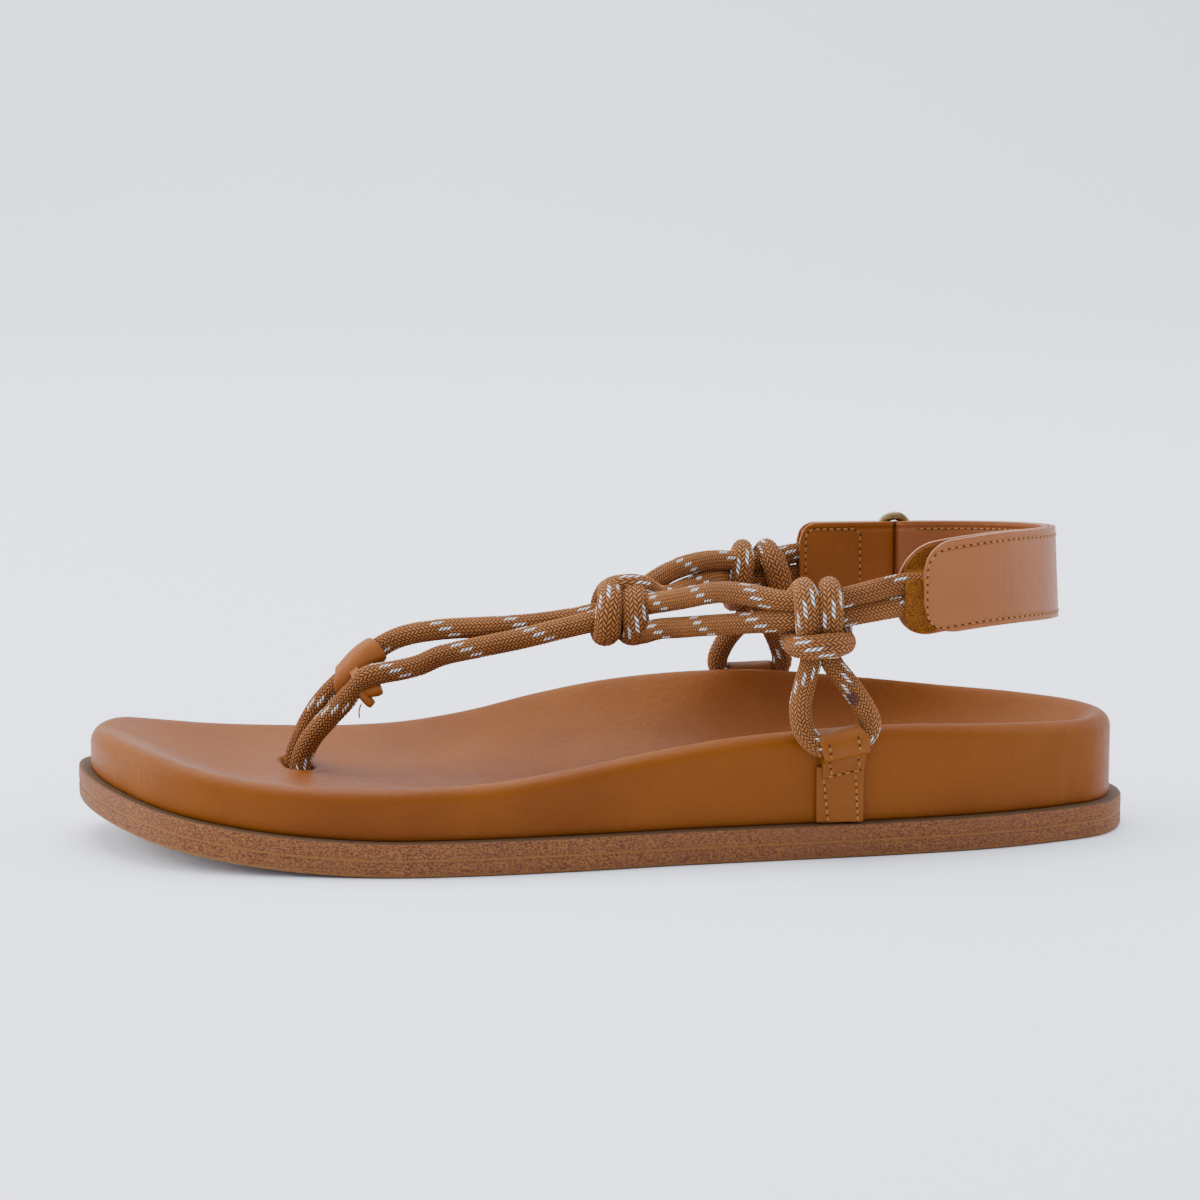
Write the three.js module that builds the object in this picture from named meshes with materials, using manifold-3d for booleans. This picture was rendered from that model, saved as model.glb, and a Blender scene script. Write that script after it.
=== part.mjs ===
// Rope sandal, left foot: a moulded footbed on a flat stacked outsole, a braided rope harness that
// starts at a toe post and is knotted on the instep, two hitched side loops held by sewn tabs, and a
// leather heel strap that turns back through a ring and fastens on itself.
// Millimetres. +X runs to the heel, +Y to the inner side of the foot, +Z up, the tread on z = 0.
import * as THREE from "three";
import { mergeVertices } from "three/addons/utils/BufferGeometryUtils.js";
import Module from "manifold-3d";

const wasm = await Module();
wasm.setup();

// Driving sizes of the sole
const LENGTH = 258;
const WIDTH = 94.2;
const OUTSOLE_THICKNESS = 8.2;
const RIM_HEIGHT = 26.8; // the highest rim, over the top of the outsole
const TOE_SPRING = 9.9;
const SPRING_ENDS_AT = 0.3; // share of the length, from the toe, where the tread lands
const LEDGE = 3; // width of the outsole's top that shows outside the footbed
const RIM_ROUNDING = 3.5;
const GROOVE_DEPTH = 0.35;
const GROOVE_HEIGHT = 0.6;
const GROOVE_SHARE = 0.5; // height of the side's pale line, as a share of the thickness
const TREAD_BEVEL = 0.8;
const LEDGE_BEVEL = 0.5;
const TOE_BAR_HEIGHT = 1.2;
const TOE_BAR_WIDTH = 9;
const SEAT_GAP = 0.3; // clearance between pieces that touch

// Driving sizes of the upper
const ROPE = 5.2;
const PRESSED_ROPE = 3.2; // thickness of a rope end that is sewn flat between two leaves
const STRAP_HEIGHT = 63.4; // height of the strap's middle behind the heel
const STRAP_WIDTH = 22.3;
const STRAP_TILT = -0.08; // rise of the strap for each millimetre towards the inner side
const STRAP_LEAN = 0.054; // how far its top leans forward behind the heel, for each millimetre up
const FLAP_DROOP = 0.004; // how the outer side's front hangs, for each square millimetre
const LEAF = 1.4; // one thickness of strap leather
const LEAF_GAP = 0.4; // between two leaves that lie together
const FLAP_STAND = 3.4; // how much further the flap stands off over the sewn rope ends
const FLAP_FLAT = 6; // from the flap's tip to where it starts to come in
const FLAP_RUN = 24; // along which it comes in to the leaf below
const BAR_RUN = 14; // along which the two leaves part before the ring's bar
const STRAP_END_CORNER = 9;
const FLAP_TOP_CORNER = 6.5;
const FLAP_LOW_CORNER = 9;
const RING_WIRE = 1.7;
const TAB_LEAF = 1.2;
const TAB_WIDTH = 11.5;
const TAB_STEP = 0.5; // how far the tab's turned end stands out over the wall's seam
const KEEPER_LEAF = 0.9;
const KEEPER_WIDTH = 12.5;
const KEEPER_PINCH = 3.6;
const KEEPER_TAIL = 1.25; // radius of a rolled end of the keeper

// Tables and routes are drawn on a last of these sizes, and follow the sizes above.
const LONG = LENGTH / 258;
const WIDE = WIDTH / 94.2;
const TALL = STRAP_HEIGHT / 63.4;
const DEEP = RIM_HEIGHT / 26.8;

// Places of the upper
const FOOT_LINE = 2.2 * WIDE; // y of the line that the heel strap is centred on
const STRAP_HALF = 25.8 * WIDE; // from that line to the middle of the strap's inner leaf
const STRAP_BACK = 111.7 * LONG; // x of the strap's outermost face
const STRAP_NEAR_END = 67.3 * LONG;
const FLAP_TIP = 72.8 * LONG;
const DROOP_START = 100 * LONG;
const RING_X = 76.5 * LONG;
const RING_TAB_FRONT = 51.9 * LONG;
const RING_TAB_SLOT = RING_X - 10;
const RING_TAB_CORNER = 4.5;
const RING_SHORT = 1.3; // how far the ring's straight bars end inside the strap's edges

// Mesh fineness
const SIDE_STATIONS = 33;
const FINEST = 0.06; // edges that joins and cuts leave shorter than this are drawn together
const ROPE_FINEST = 0.15;
const ROPE_SIDES = 8;
const ROPE_STEP = 5.6;
const KNOT_STEP = 4;
const LOOP_STEP = 4.8;
const STRAP_STEP = 4;
const STRAP_ARC_STEPS = 26;
const RING_STEPS = 16;

// Half outlines of the outsole, at shares of the length from the toe; sides are shares of the width.
const OUTLINE = [
  { share: 0, outer: 0.12, inner: 0.12 },
  { share: 0.03, outer: -0.158, inner: 0.328 },
  { share: 0.08, outer: -0.327, inner: 0.401 },
  { share: 0.15, outer: -0.422, inner: 0.456 },
  { share: 0.22, outer: -0.468, inner: 0.484 },
  { share: 0.3, outer: -0.498, inner: 0.5 },
  { share: 0.38, outer: -0.491, inner: 0.488 },
  { share: 0.46, outer: -0.466, inner: 0.448 },
  { share: 0.55, outer: -0.427, inner: 0.395 },
  { share: 0.65, outer: -0.396, inner: 0.363 },
  { share: 0.75, outer: -0.364, inner: 0.362 },
  { share: 0.85, outer: -0.315, inner: 0.373 },
  { share: 0.92, outer: -0.249, inner: 0.323 },
  { share: 0.97, outer: -0.176, inner: 0.228 },
  { share: 1, outer: 0.023, inner: 0.023 },
];

// Heights over the top of the outsole: the footbed's rim on each side, its floor, and how sharply
// the floor turns up into each rim. The last two columns are exponents.
const CONTOUR = [
  { share: 0, outer: 8.6, inner: 8.6, floor: 5, cupOuter: 2.4, cupInner: 2.4 },
  { share: 0.06, outer: 10.7, inner: 10.5, floor: 4.6, cupOuter: 2.6, cupInner: 2.6 },
  { share: 0.12, outer: 10.8, inner: 10.9, floor: 4.7, cupOuter: 2.8, cupInner: 2.8 },
  { share: 0.19, outer: 11, inner: 11.7, floor: 5.2, cupOuter: 3, cupInner: 3 },
  { share: 0.26, outer: 11.6, inner: 12.2, floor: 5.3, cupOuter: 3, cupInner: 3 },
  { share: 0.32, outer: 12, inner: 13.1, floor: 5.2, cupOuter: 3, cupInner: 2.8 },
  { share: 0.39, outer: 12.9, inner: 16.2, floor: 5.3, cupOuter: 3, cupInner: 2.4 },
  { share: 0.45, outer: 15, inner: 20.4, floor: 6.2, cupOuter: 3, cupInner: 2.1 },
  { share: 0.53, outer: 18.3, inner: 24.8, floor: 7.6, cupOuter: 3, cupInner: 2 },
  { share: 0.6, outer: 20.8, inner: 26.7, floor: 8.6, cupOuter: 3.1, cupInner: 2.1 },
  { share: 0.67, outer: 22, inner: 26.8, floor: 9, cupOuter: 3.2, cupInner: 2.4 },
  { share: 0.75, outer: 22.6, inner: 24.8, floor: 8.8, cupOuter: 3.4, cupInner: 3 },
  { share: 0.84, outer: 21.7, inner: 22.1, floor: 8.5, cupOuter: 3.6, cupInner: 3.4 },
  { share: 0.92, outer: 20.6, inner: 20.8, floor: 8.6, cupOuter: 3.6, cupInner: 3.6 },
  { share: 1, outer: 20.2, inner: 20.2, floor: 9, cupOuter: 3.6, cupInner: 3.6 },
];
const INNER_RINGS = [0.05, 0.12, 0.21, 0.32, 0.46, 0.62, 0.8, 1];
const SPINE_SHARE = 0.62; // length of the floor's middle line, as a share of the sole's
const CREST_SOFTNESS = 0.05;

// Routes of the ropes, chosen by hand.
// The outer toe strand: out of the toe hole, past the keeper, through the knot, to the strap.
const OUTER_STRAND = [
  { x: -75, y: 9.6, z: 15.9 }, { x: -74.3, y: 9.6, z: 18.8 }, { x: -71.9, y: 9.5, z: 23.4 },
  { x: -68.3, y: 9.2, z: 27.6 }, { x: -64, y: 8.6, z: 32.2 }, { x: -61.4, y: 7.8, z: 35.7 },
  { x: -58.9, y: 7.2, z: 38.3 }, { x: -55.7, y: 6.8, z: 39.3 }, { x: -50.4, y: 6.6, z: 40.2 },
  { x: -45.4, y: 6.4, z: 41.4 }, { x: -40.5, y: 6.2, z: 43.6 }, { x: -30.7, y: 5.2, z: 45.8 },
  { x: -21, y: 3.8, z: 47.9 }, { x: -11.3, y: 2.2, z: 50.4 }, { x: -2, y: 0.8, z: 52.8 },
  { x: 3, y: 0.2, z: 54.6 }, { x: 6.8, y: 0.1, z: 55.8 }, { x: 10.4, y: -3, z: 57.2 },
  { x: 14, y: -7, z: 58.3 }, { x: 19, y: -11.8, z: 60 }, { x: 25.6, y: -16.8, z: 61.8 },
  { x: 32.1, y: -21.8, z: 61.8 }, { x: 38.8, y: -25.8, z: 60.8 }, { x: 44.5, y: -27.6, z: 60.6 },
  { x: 50.5, y: -27.8, z: 60.8 }, { x: 57.7, y: -27.6, z: 62.4 }, { x: 63.8, y: -27.2, z: 63.8 },
  { x: 69, y: -27, z: 64.7 },
];
// The inner toe strand: out of the same hole, through the knot, to the ring tab.
const INNER_STRAND = [
  { x: -76.3, y: 14.8, z: 15.4 }, { x: -75.7, y: 14.8, z: 18.7 }, { x: -73.5, y: 14.6, z: 24.2 },
  { x: -71, y: 14.1, z: 29 }, { x: -67.6, y: 13.6, z: 33.4 }, { x: -64.5, y: 13.2, z: 36.5 },
  { x: -61.4, y: 12.9, z: 39.4 }, { x: -57.8, y: 12.8, z: 42.9 }, { x: -52.9, y: 12.5, z: 46.2 },
  { x: -48.4, y: 12, z: 48 }, { x: -40.1, y: 11, z: 49.4 }, { x: -27.9, y: 9, z: 50.2 },
  { x: -18.2, y: 7.2, z: 51 }, { x: -8.5, y: 5.8, z: 52.4 }, { x: -1.1, y: 4.9, z: 54 },
  { x: 3, y: 4.9, z: 55 }, { x: 7, y: 6.4, z: 56.4 }, { x: 10.5, y: 10, z: 58.8 },
  { x: 14, y: 12.6, z: 61 }, { x: 20.1, y: 16.4, z: 63.2 }, { x: 28.4, y: 22.2, z: 64 },
  { x: 36.7, y: 27.2, z: 63 }, { x: 43.4, y: 29.2, z: 62.9 }, { x: 49.6, y: 30, z: 64.2 },
  { x: 54, y: 30.4, z: 64.6 },
];
// The knotted rope: from the strap to the knot, twice round the toe strands, over the top and on to
// the ring tab.
const KNOT_OUTER_RUN = [
  { x: 69, y: -27, z: 59.4 }, { x: 63.9, y: -27.2, z: 58.7 }, { x: 57.8, y: -27.6, z: 57.8 },
  { x: 50.5, y: -27.8, z: 56.6 }, { x: 44.5, y: -27.6, z: 56.4 }, { x: 39.9, y: -26.8, z: 56.1 },
  { x: 33.8, y: -23.8, z: 55.4 }, { x: 25.5, y: -17.8, z: 54.1 }, { x: 17, y: -11, z: 52.5 },
  { x: 12.2, y: -7.6, z: 51.7 }, { x: 9.6, y: -2.8, z: 50.2 }, { x: 8.6, y: 3.2, z: 49 },
  { x: 8.2, y: 7.8, z: 51.2 }, { x: 7.8, y: 9, z: 55.5 }, { x: 7.2, y: 6.6, z: 59 },
];
const KNOT_WRAPS = [
  { x: 7.8, y: 9, z: 55.5 }, { x: 7.2, y: 6.6, z: 59 }, { x: 6.7, y: 1.7, z: 60.3 },
  { x: 6.5, y: -3.2, z: 58.2 }, { x: 6.6, y: -4.9, z: 54 }, { x: 7, y: -2.8, z: 50.2 },
  { x: 6.2, y: 2.2, z: 48.7 }, { x: 5, y: 7.2, z: 50.6 }, { x: 4, y: 9.1, z: 55 },
  { x: 2.8, y: 6.6, z: 59 }, { x: 1.4, y: 1.7, z: 60.3 }, { x: 0.6, y: -3.2, z: 58.2 },
  { x: -0.1, y: -4.9, z: 54 }, { x: -0.1, y: -2.8, z: 50.2 }, { x: -0.4, y: 2.2, z: 48.7 },
  { x: -0.2, y: 7.2, z: 50.8 }, { x: 0, y: 8.8, z: 55 },
];
const KNOT_INNER_RUN = [
  { x: -0.2, y: 7.2, z: 50.8 }, { x: 0, y: 8.8, z: 55 }, { x: 0.8, y: 6.8, z: 58.6 },
  { x: 2.4, y: 2.8, z: 60.8 }, { x: 4.6, y: 0.2, z: 61.5 }, { x: 7.4, y: 0.6, z: 61.4 },
  { x: 10, y: 2.6, z: 60.2 }, { x: 11.8, y: 4.8, z: 58.8 }, { x: 13.8, y: 7.2, z: 57.4 },
  { x: 16.8, y: 10.2, z: 57.2 }, { x: 22.6, y: 16.2, z: 58.3 }, { x: 28.7, y: 22.2, z: 59 },
  { x: 35.5, y: 27.2, z: 58.4 }, { x: 42.1, y: 29.2, z: 58 }, { x: 49.6, y: 30, z: 58.8 },
  { x: 54, y: 30.4, z: 59.2 },
];
// Where the sewn rope ends lie flat: start, height and length
const STRAP_ROPE_ENDS = [
  { x: 67.5, y: -27, z: 64.5, length: 10 },
  { x: 67.5, y: -27, z: 59.3, length: 10 },
];
const TAB_ROPE_ENDS = [
  { x: 52.5, y: 30.6, z: 64.5, length: 11 },
  { x: 52.5, y: 30.6, z: 59.1, length: 11 },
];
// The hitch of a side loop, from its front leg over both side ropes, across the front under them,
// up behind, over again and down to its back leg. From the middle of the ropes: along, out, up.
const HITCH = [
  { along: -2, out: 3.2, up: -10.9 }, { along: -2.2, out: 3, up: -6.4 },
  { along: -2.9, out: 4.7, up: -1 }, { along: -3.2, out: 4.2, up: 3.6 },
  { along: -3.4, out: 0.3, up: 6.3 }, { along: -4, out: -4, up: 3.5 },
  { along: -4.8, out: -4.9, up: -1.6 }, { along: -5.6, out: -2.8, up: -5.9 },
  { along: -5.5, out: 2.7, up: -7.4 }, { along: -3.2, out: 7.1, up: -7 },
  { along: 0.3, out: 8.2, up: -6.6 }, { along: 3.9, out: 7.1, up: -6.5 },
  { along: 6.3, out: 2.9, up: -6.7 }, { along: 6.2, out: -2.4, up: -5.7 },
  { along: 5.3, out: -4.9, up: -1.3 }, { along: 3.9, out: -4, up: 3.6 },
  { along: 2.7, out: 0.3, up: 6.4 }, { along: 2.4, out: 4.2, up: 3.6 },
  { along: 2.3, out: 4.7, up: -1 }, { along: 2.3, out: 3, up: -6.4 },
  { along: 2.8, out: 3.2, up: -10.9 },
];
// Each side loop: where its hitch sits, and the way of its cord from the back leg, through the fold
// of its tab, to the front leg
const OUTER_LOOP = {
  hitch: { x: 47.5, y: -27.8, z: 58 },
  legs: [
    { x: 54, y: -32.6, z: 42 }, { x: 57.4, y: -34.2, z: 36.9 }, { x: 59.2, y: -35.2, z: 32.6 },
    { x: 57.6, y: -36, z: 29.4 }, { x: 53, y: -36.6, z: 28.2 }, { x: 47, y: -36.9, z: 27.6 },
    { x: 43.4, y: -36.7, z: 30.6 }, { x: 42.3, y: -35.6, z: 35.6 }, { x: 43.6, y: -33.2, z: 41.6 },
  ],
};
const INNER_LOOP = {
  hitch: { x: 41, y: 29, z: 59.6 },
  legs: [
    { x: 47.4, y: 34, z: 41.4 }, { x: 48.8, y: 35, z: 35.8 }, { x: 46.4, y: 35.4, z: 32.5 },
    { x: 40.6, y: 35.6, z: 31.7 }, { x: 34.9, y: 35.4, z: 32.3 }, { x: 32.1, y: 35.2, z: 35.6 },
    { x: 34, y: 34.4, z: 41.4 },
  ],
};
const CROSSING = 15; // the row of the hitch where a loop's first run of cord ends
const SHARED_POINTS = 1; // how far its two runs reach into each other
const FOLD_SWELL = 0.64; // turn, in radians, by which a tab's fold swells out below its middle
const FOLD_TURN = 1.15 * Math.PI; // where the fold meets the wall again
const HOLE_REACH = 2; // how far the toe hole goes past the strands' ends
// The tabs: middle of the fold, and height of the seam under it
const OUTER_TAB = { x: 53.2, y: -36.7, z: 28, seam: 20.5 };
const INNER_TAB = { x: 40.4, y: 35.6, z: 31.9, seam: 24 };
// The toe keeper: its middle, the way the strands run through it, and the way from the middle to
// the inner strand, across and up
const KEEPER = {
  middle: { x: -58.6, y: 10.3, z: 39.5 },
  along: { x: 0.77, y: -0.05, z: 0.635 },
  strand: { across: 2.7, up: 1.4 },
};
const KEEPER_TAILS = [
  [{ x: -59.6, y: 7.6, z: 33.4 }, { x: -57, y: 7.8, z: 34.2 }, { x: -54, y: 7.8, z: 34.6 }],
  [{ x: -59.6, y: 7.6, z: 33.4 }, { x: -57.8, y: 8, z: 33 }, { x: -57.2, y: 8.2, z: 31.2 }],
];

const HALF = LENGTH / 2;
const ROPE_RADIUS = ROPE / 2;
const toShare = (x) => (x + HALF) / LENGTH;
const toX = (share) => share * LENGTH - HALF;
const mix = (a, b, t) => a + (b - a) * t;
const clamp01 = (t) => Math.min(1, Math.max(0, t));
const smooth = (t) => clamp01(t) ** 2 * (3 - 2 * clamp01(t));

// The angle of a station: stations crowd towards toe and heel, so the ends come out round.
const stationAngle = (share) => Math.acos(1 - 2 * clamp01(share));

// A table column at a share of the length, along a curve without corners through its rows.
function column(table, name, share) {
  const angle = stationAngle(share);
  const at = table.map((row) => stationAngle(row.share));
  const value = table.map((row) => row[name]);
  let i = at.findIndex((a) => a > angle) - 1;
  if (i < 0) i = table.length - 2;
  const slope = (k) => (value[k + 1] - value[k]) / (at[k + 1] - at[k]);
  const tangent = (k) => {
    if (k === 0) return slope(0);
    if (k === table.length - 1) return slope(k - 1);
    const before = at[k] - at[k - 1];
    const after = at[k + 1] - at[k];
    return (slope(k - 1) * after + slope(k) * before) / (before + after);
  };
  const span = at[i + 1] - at[i];
  const t = (angle - at[i]) / span;
  const ends = (1 + 2 * t) * (1 - t) ** 2 * value[i] + t ** 2 * (3 - 2 * t) * value[i + 1];
  const turns = t * (1 - t) ** 2 * tangent(i) + t ** 2 * (t - 1) * tangent(i + 1);
  return ends + turns * span;
}

function toeSpring(x) {
  const lift = Math.max(0, (SPRING_ENDS_AT - toShare(x)) / SPRING_ENDS_AT);
  return TOE_SPRING * lift ** 2;
}
const outsoleTop = (x) => toeSpring(x) + OUTSOLE_THICKNESS;
const sideAt = (side, share) => WIDTH * column(OUTLINE, side, share);

// The stations round the sole: down the outer side from toe to heel, and back up the inner side.
const STATIONS = [];
for (let i = 0; i <= SIDE_STATIONS; i++) {
  STATIONS.push({ side: "outer", angle: (Math.PI * i) / SIDE_STATIONS });
}
for (let i = SIDE_STATIONS - 1; i > 0; i--) {
  STATIONS.push({ side: "inner", angle: (Math.PI * i) / SIDE_STATIONS });
}

// A point of the outline, moved inwards at right angles to it.
function outlinePoint({ side, angle }, inset) {
  const share = (a) => (1 - Math.cos(a)) / 2;
  const step = 0.004;
  const low = Math.max(0, angle - step);
  const high = Math.min(Math.PI, angle + step);
  const dx = toX(share(high)) - toX(share(low));
  const dy = sideAt(side, share(high)) - sideAt(side, share(low));
  const size = Math.hypot(dx, dy) * (side === "outer" ? 1 : -1);
  const x = toX(share(angle)) - (inset * dy) / size;
  const y = sideAt(side, share(angle)) + (inset * dx) / size;
  return { x, y, share: share(angle) };
}

// The middle line of the sole, drawn in from both ends.
function spinePoint({ angle }) {
  const x = -HALF * SPINE_SHARE * Math.cos(angle);
  const share = toShare(x);
  return { x, y: (sideAt("outer", share) + sideAt("inner", share)) / 2 };
}

function ringOf(pointAt) {
  return STATIONS.map((station) => pointAt(station));
}

// A closed surface through rings of as many points each. The first band can be split along its
// other diagonals, so that two warped faces that lie on each other are split alike.
function skinGeometry(rings, otherSplit = false) {
  const positions = rings.flat().flatMap((p) => [p.x, p.y, p.z]);
  const count = rings[0].length;
  const index = [];
  for (let k = 0; k + 1 < rings.length; k++) {
    for (let i = 0; i < count; i++) {
      const j = (i + 1) % count;
      const [a, b, c, d] = [k * count + i, k * count + j, (k + 1) * count + j, (k + 1) * count + i];
      if (otherSplit && k === 0) index.push(a, b, d, b, c, d);
      else index.push(a, b, c, a, c, d);
    }
  }
  const geometry = new THREE.BufferGeometry();
  geometry.setAttribute("position", new THREE.Float32BufferAttribute(positions, 3));
  geometry.setIndex(index);
  return geometry;
}

// Solids
function solid(geometry) {
  const bare = geometry.index ? geometry.toNonIndexed() : geometry.clone();
  bare.deleteAttribute("normal");
  bare.deleteAttribute("uv");
  const merged = mergeVertices(bare, 1e-4);
  const all = merged.index.array;
  const triVerts = [];
  for (let i = 0; i < all.length; i += 3) {
    const [a, b, c] = [all[i], all[i + 1], all[i + 2]];
    if (a !== b && b !== c && c !== a) triVerts.push(a, b, c);
  }
  const build = (triangles) =>
    new wasm.Manifold(
      new wasm.Mesh({
        numProp: 3,
        vertProperties: merged.attributes.position.array,
        triVerts: new Uint32Array(triangles),
      }),
    );
  const made = build(triVerts);
  return made.volume() > 0 ? made : build(triVerts.reverse());
}
const join = (solids) => solids.reduce((a, b) => a.add(b));

function toMesh(name, made, material) {
  const { numProp, vertProperties, triVerts } = made.simplify(FINEST).getMesh();
  const positions = [];
  for (let i = 0; i < vertProperties.length; i += numProp) {
    positions.push(vertProperties[i], vertProperties[i + 1], vertProperties[i + 2]);
  }
  const geometry = new THREE.BufferGeometry();
  geometry.setAttribute("position", new THREE.Float32BufferAttribute(positions, 3));
  geometry.setIndex([...triVerts]);
  geometry.computeVertexNormals();
  const mesh = new THREE.Mesh(geometry, material);
  mesh.name = name;
  return mesh;
}

// The outsole: a slab with toe spring, its side grooved at half height as in stacked leather.
function outsoleSolid() {
  const grooveLow = OUTSOLE_THICKNESS * GROOVE_SHARE - GROOVE_HEIGHT / 2;
  const grooveHigh = grooveLow + GROOVE_HEIGHT;
  const profile = [
    { inset: TREAD_BEVEL, up: 0 },
    { inset: 0, up: TREAD_BEVEL },
    { inset: 0, up: grooveLow - GROOVE_DEPTH / 2 },
    { inset: GROOVE_DEPTH, up: grooveLow },
    { inset: GROOVE_DEPTH, up: grooveHigh },
    { inset: 0, up: grooveHigh + GROOVE_DEPTH / 2 },
    { inset: 0, up: OUTSOLE_THICKNESS - LEDGE_BEVEL },
    { inset: LEDGE_BEVEL, up: OUTSOLE_THICKNESS },
    { inset: LEDGE, up: OUTSOLE_THICKNESS },
  ];
  const middle = (up) =>
    ringOf((station) => {
      const { x, y } = spinePoint(station);
      return { x, y, z: toeSpring(x) + up };
    });
  const sides = profile.map(({ inset, up }) =>
    ringOf((station) => {
      const { x, y } = outlinePoint(station, inset);
      return { x, y, z: toeSpring(x) + up };
    }),
  );
  return solid(skinGeometry([middle(0), ...sides, middle(OUTSOLE_THICKNESS)]));
}

const contour = (name, share) => DEEP * column(CONTOUR, name, share);
const rimHeight = ({ side }, share) => outsoleTop(toX(share)) + contour(side, share);

// The low bar across the toes, which the toe post stands on.
function toeBar(x, fraction) {
  const across = (x - LONG * OUTER_STRAND[0].x) / TOE_BAR_WIDTH;
  return TOE_BAR_HEIGHT * Math.exp(-(across ** 2)) * smooth(fraction * 2);
}

// A point of the footbed's top, at a fraction of the way from the rim to the middle line.
function bedPoint(station, fraction) {
  const crest = outlinePoint(station, LEDGE + RIM_ROUNDING);
  const spine = spinePoint(station);
  const x = mix(crest.x, spine.x, fraction);
  const y = mix(crest.y, spine.y, fraction);
  const cup = column(CONTOUR, station.side === "outer" ? "cupOuter" : "cupInner", crest.share);
  const eased = (fraction * fraction * (1 + CREST_SOFTNESS)) / (fraction + CREST_SOFTNESS);
  const drop = 1 - (1 - eased) ** cup;
  const floor = outsoleTop(x) + contour("floor", toShare(x));
  return { x, y, z: mix(rimHeight(station, crest.share), floor, drop) + toeBar(x, fraction) };
}

// The footbed: a leather-covered wall all round, a round rim and a dished top. A margin swells it.
function footbedSolid(margin) {
  const wallTo = (rise) =>
    ringOf((station) => {
      const { x, y, share } = outlinePoint(station, LEDGE - margin);
      const low = outsoleTop(x) + SEAT_GAP - margin;
      const high = rimHeight(station, share) - RIM_ROUNDING;
      return { x, y, z: mix(low, high, rise) };
    });
  const roundTo = (turn) =>
    ringOf((station) => {
      const angle = (turn * Math.PI) / 2;
      const inset = LEDGE - margin + (RIM_ROUNDING + margin) * (1 - Math.cos(angle));
      const { x, y, share } = outlinePoint(station, inset);
      const up = (RIM_ROUNDING + margin) * Math.sin(angle) - RIM_ROUNDING;
      return { x, y, z: rimHeight(station, share) + up };
    });
  const bed = (fraction) =>
    ringOf((station) => {
      const { x, y, z } = bedPoint(station, fraction);
      return { x, y, z: z + margin };
    });
  const underside = ringOf((station) => {
    const { x, y } = spinePoint(station);
    return { x, y, z: outsoleTop(x) + SEAT_GAP - margin };
  });
  return solid(
    skinGeometry([
      underside,
      ...[0, 0.5, 1].map(wallTo),
      ...[0.3, 0.62, 1].map(roundTo),
      ...INNER_RINGS.map(bed),
    ], true),
  );
}

const onLast = ({ x, y, z }) => new THREE.Vector3(x * LONG, y * WIDE, z * TALL);

// A round rope of one radius along a list of places.
function ropeSolid(places, radius, step) {
  const curve = new THREE.CatmullRomCurve3(places);
  const section = new THREE.Shape();
  for (let i = 0; i < ROPE_SIDES; i++) {
    const angle = (2 * Math.PI * i) / ROPE_SIDES;
    const [u, v] = [radius * Math.cos(angle), radius * Math.sin(angle)];
    if (i === 0) section.moveTo(u, v);
    else section.lineTo(u, v);
  }
  const steps = Math.ceil(curve.getLength() / step);
  return solid(new THREE.ExtrudeGeometry(section, { steps, extrudePath: curve, bevelEnabled: false }));
}

// A toe strand, from the bottom of the toe hole. A margin lets the hole go right through.
function strandSolid(route, margin) {
  const places = route.map(onLast);
  const { x, y } = places[0];
  const end = new THREE.Vector3(x, y, outsoleTop(x - ROPE_RADIUS) + 3 * SEAT_GAP);
  const strand = ropeSolid([end, ...places], ROPE_RADIUS + margin, ROPE_STEP);
  if (margin === 0) return strand;
  const below = new THREE.Vector3(x, y, end.z - HOLE_REACH);
  return strand.add(ropeSolid([below, places[0]], ROPE_RADIUS + margin, ROPE_STEP));
}

// A rope end pressed flat along X.
function pressedEnd({ length, ...start }, margin) {
  const section = new THREE.Shape();
  section.absellipse(0, 0, PRESSED_ROPE / 2 + margin, ROPE_RADIUS + margin, 0, 2 * Math.PI);
  const geometry = new THREE.ExtrudeGeometry(section, {
    depth: length + margin,
    curveSegments: ROPE_SIDES,
    bevelEnabled: false,
  });
  geometry.rotateY(Math.PI / 2);
  geometry.rotateX(Math.PI / 2);
  geometry.translate(...onLast(start).toArray());
  return solid(geometry);
}

// The rope harness with a margin round every strand.
function harnessSolid(margin) {
  const radius = ROPE_RADIUS + margin;
  return join([
    strandSolid(OUTER_STRAND, margin),
    strandSolid(INNER_STRAND, margin),
    ropeSolid(KNOT_OUTER_RUN.map(onLast), radius, ROPE_STEP),
    ropeSolid(KNOT_WRAPS.map(onLast), radius, KNOT_STEP),
    ropeSolid(KNOT_INNER_RUN.map(onLast), radius, ROPE_STEP),
    ...[...STRAP_ROPE_ENDS, ...TAB_ROPE_ENDS].map((end) => pressedEnd(end, margin)),
  ]);
}

// The closed way of a side loop's cord, from its hitch and its legs.
function loopRoute({ hitch, legs }) {
  const side = Math.sign(hitch.y);
  const turns = HITCH.map(({ along, out, up }) => ({
    x: hitch.x + along,
    y: hitch.y + side * out,
    z: hitch.z + up,
  }));
  return [...turns, ...legs].map(onLast);
}

// A side loop, as two runs that reach into each other, because the cord crosses itself.
function loopSolid(loop, margin) {
  const route = loopRoute(loop);
  const radius = ROPE_RADIUS + margin;
  const first = [route.at(-1), ...route.slice(0, CROSSING + 1)];
  const second = [...route.slice(CROSSING - SHARED_POINTS), ...route.slice(0, SHARED_POINTS)];
  return ropeSolid(first, radius, LOOP_STEP).add(ropeSolid(second, radius, LOOP_STEP));
}

// A flat shape drawn in two axes and pushed along the third.
function slab(shape, depth) {
  return new THREE.ExtrudeGeometry(shape, { depth, curveSegments: 10, bevelEnabled: false });
}

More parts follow.
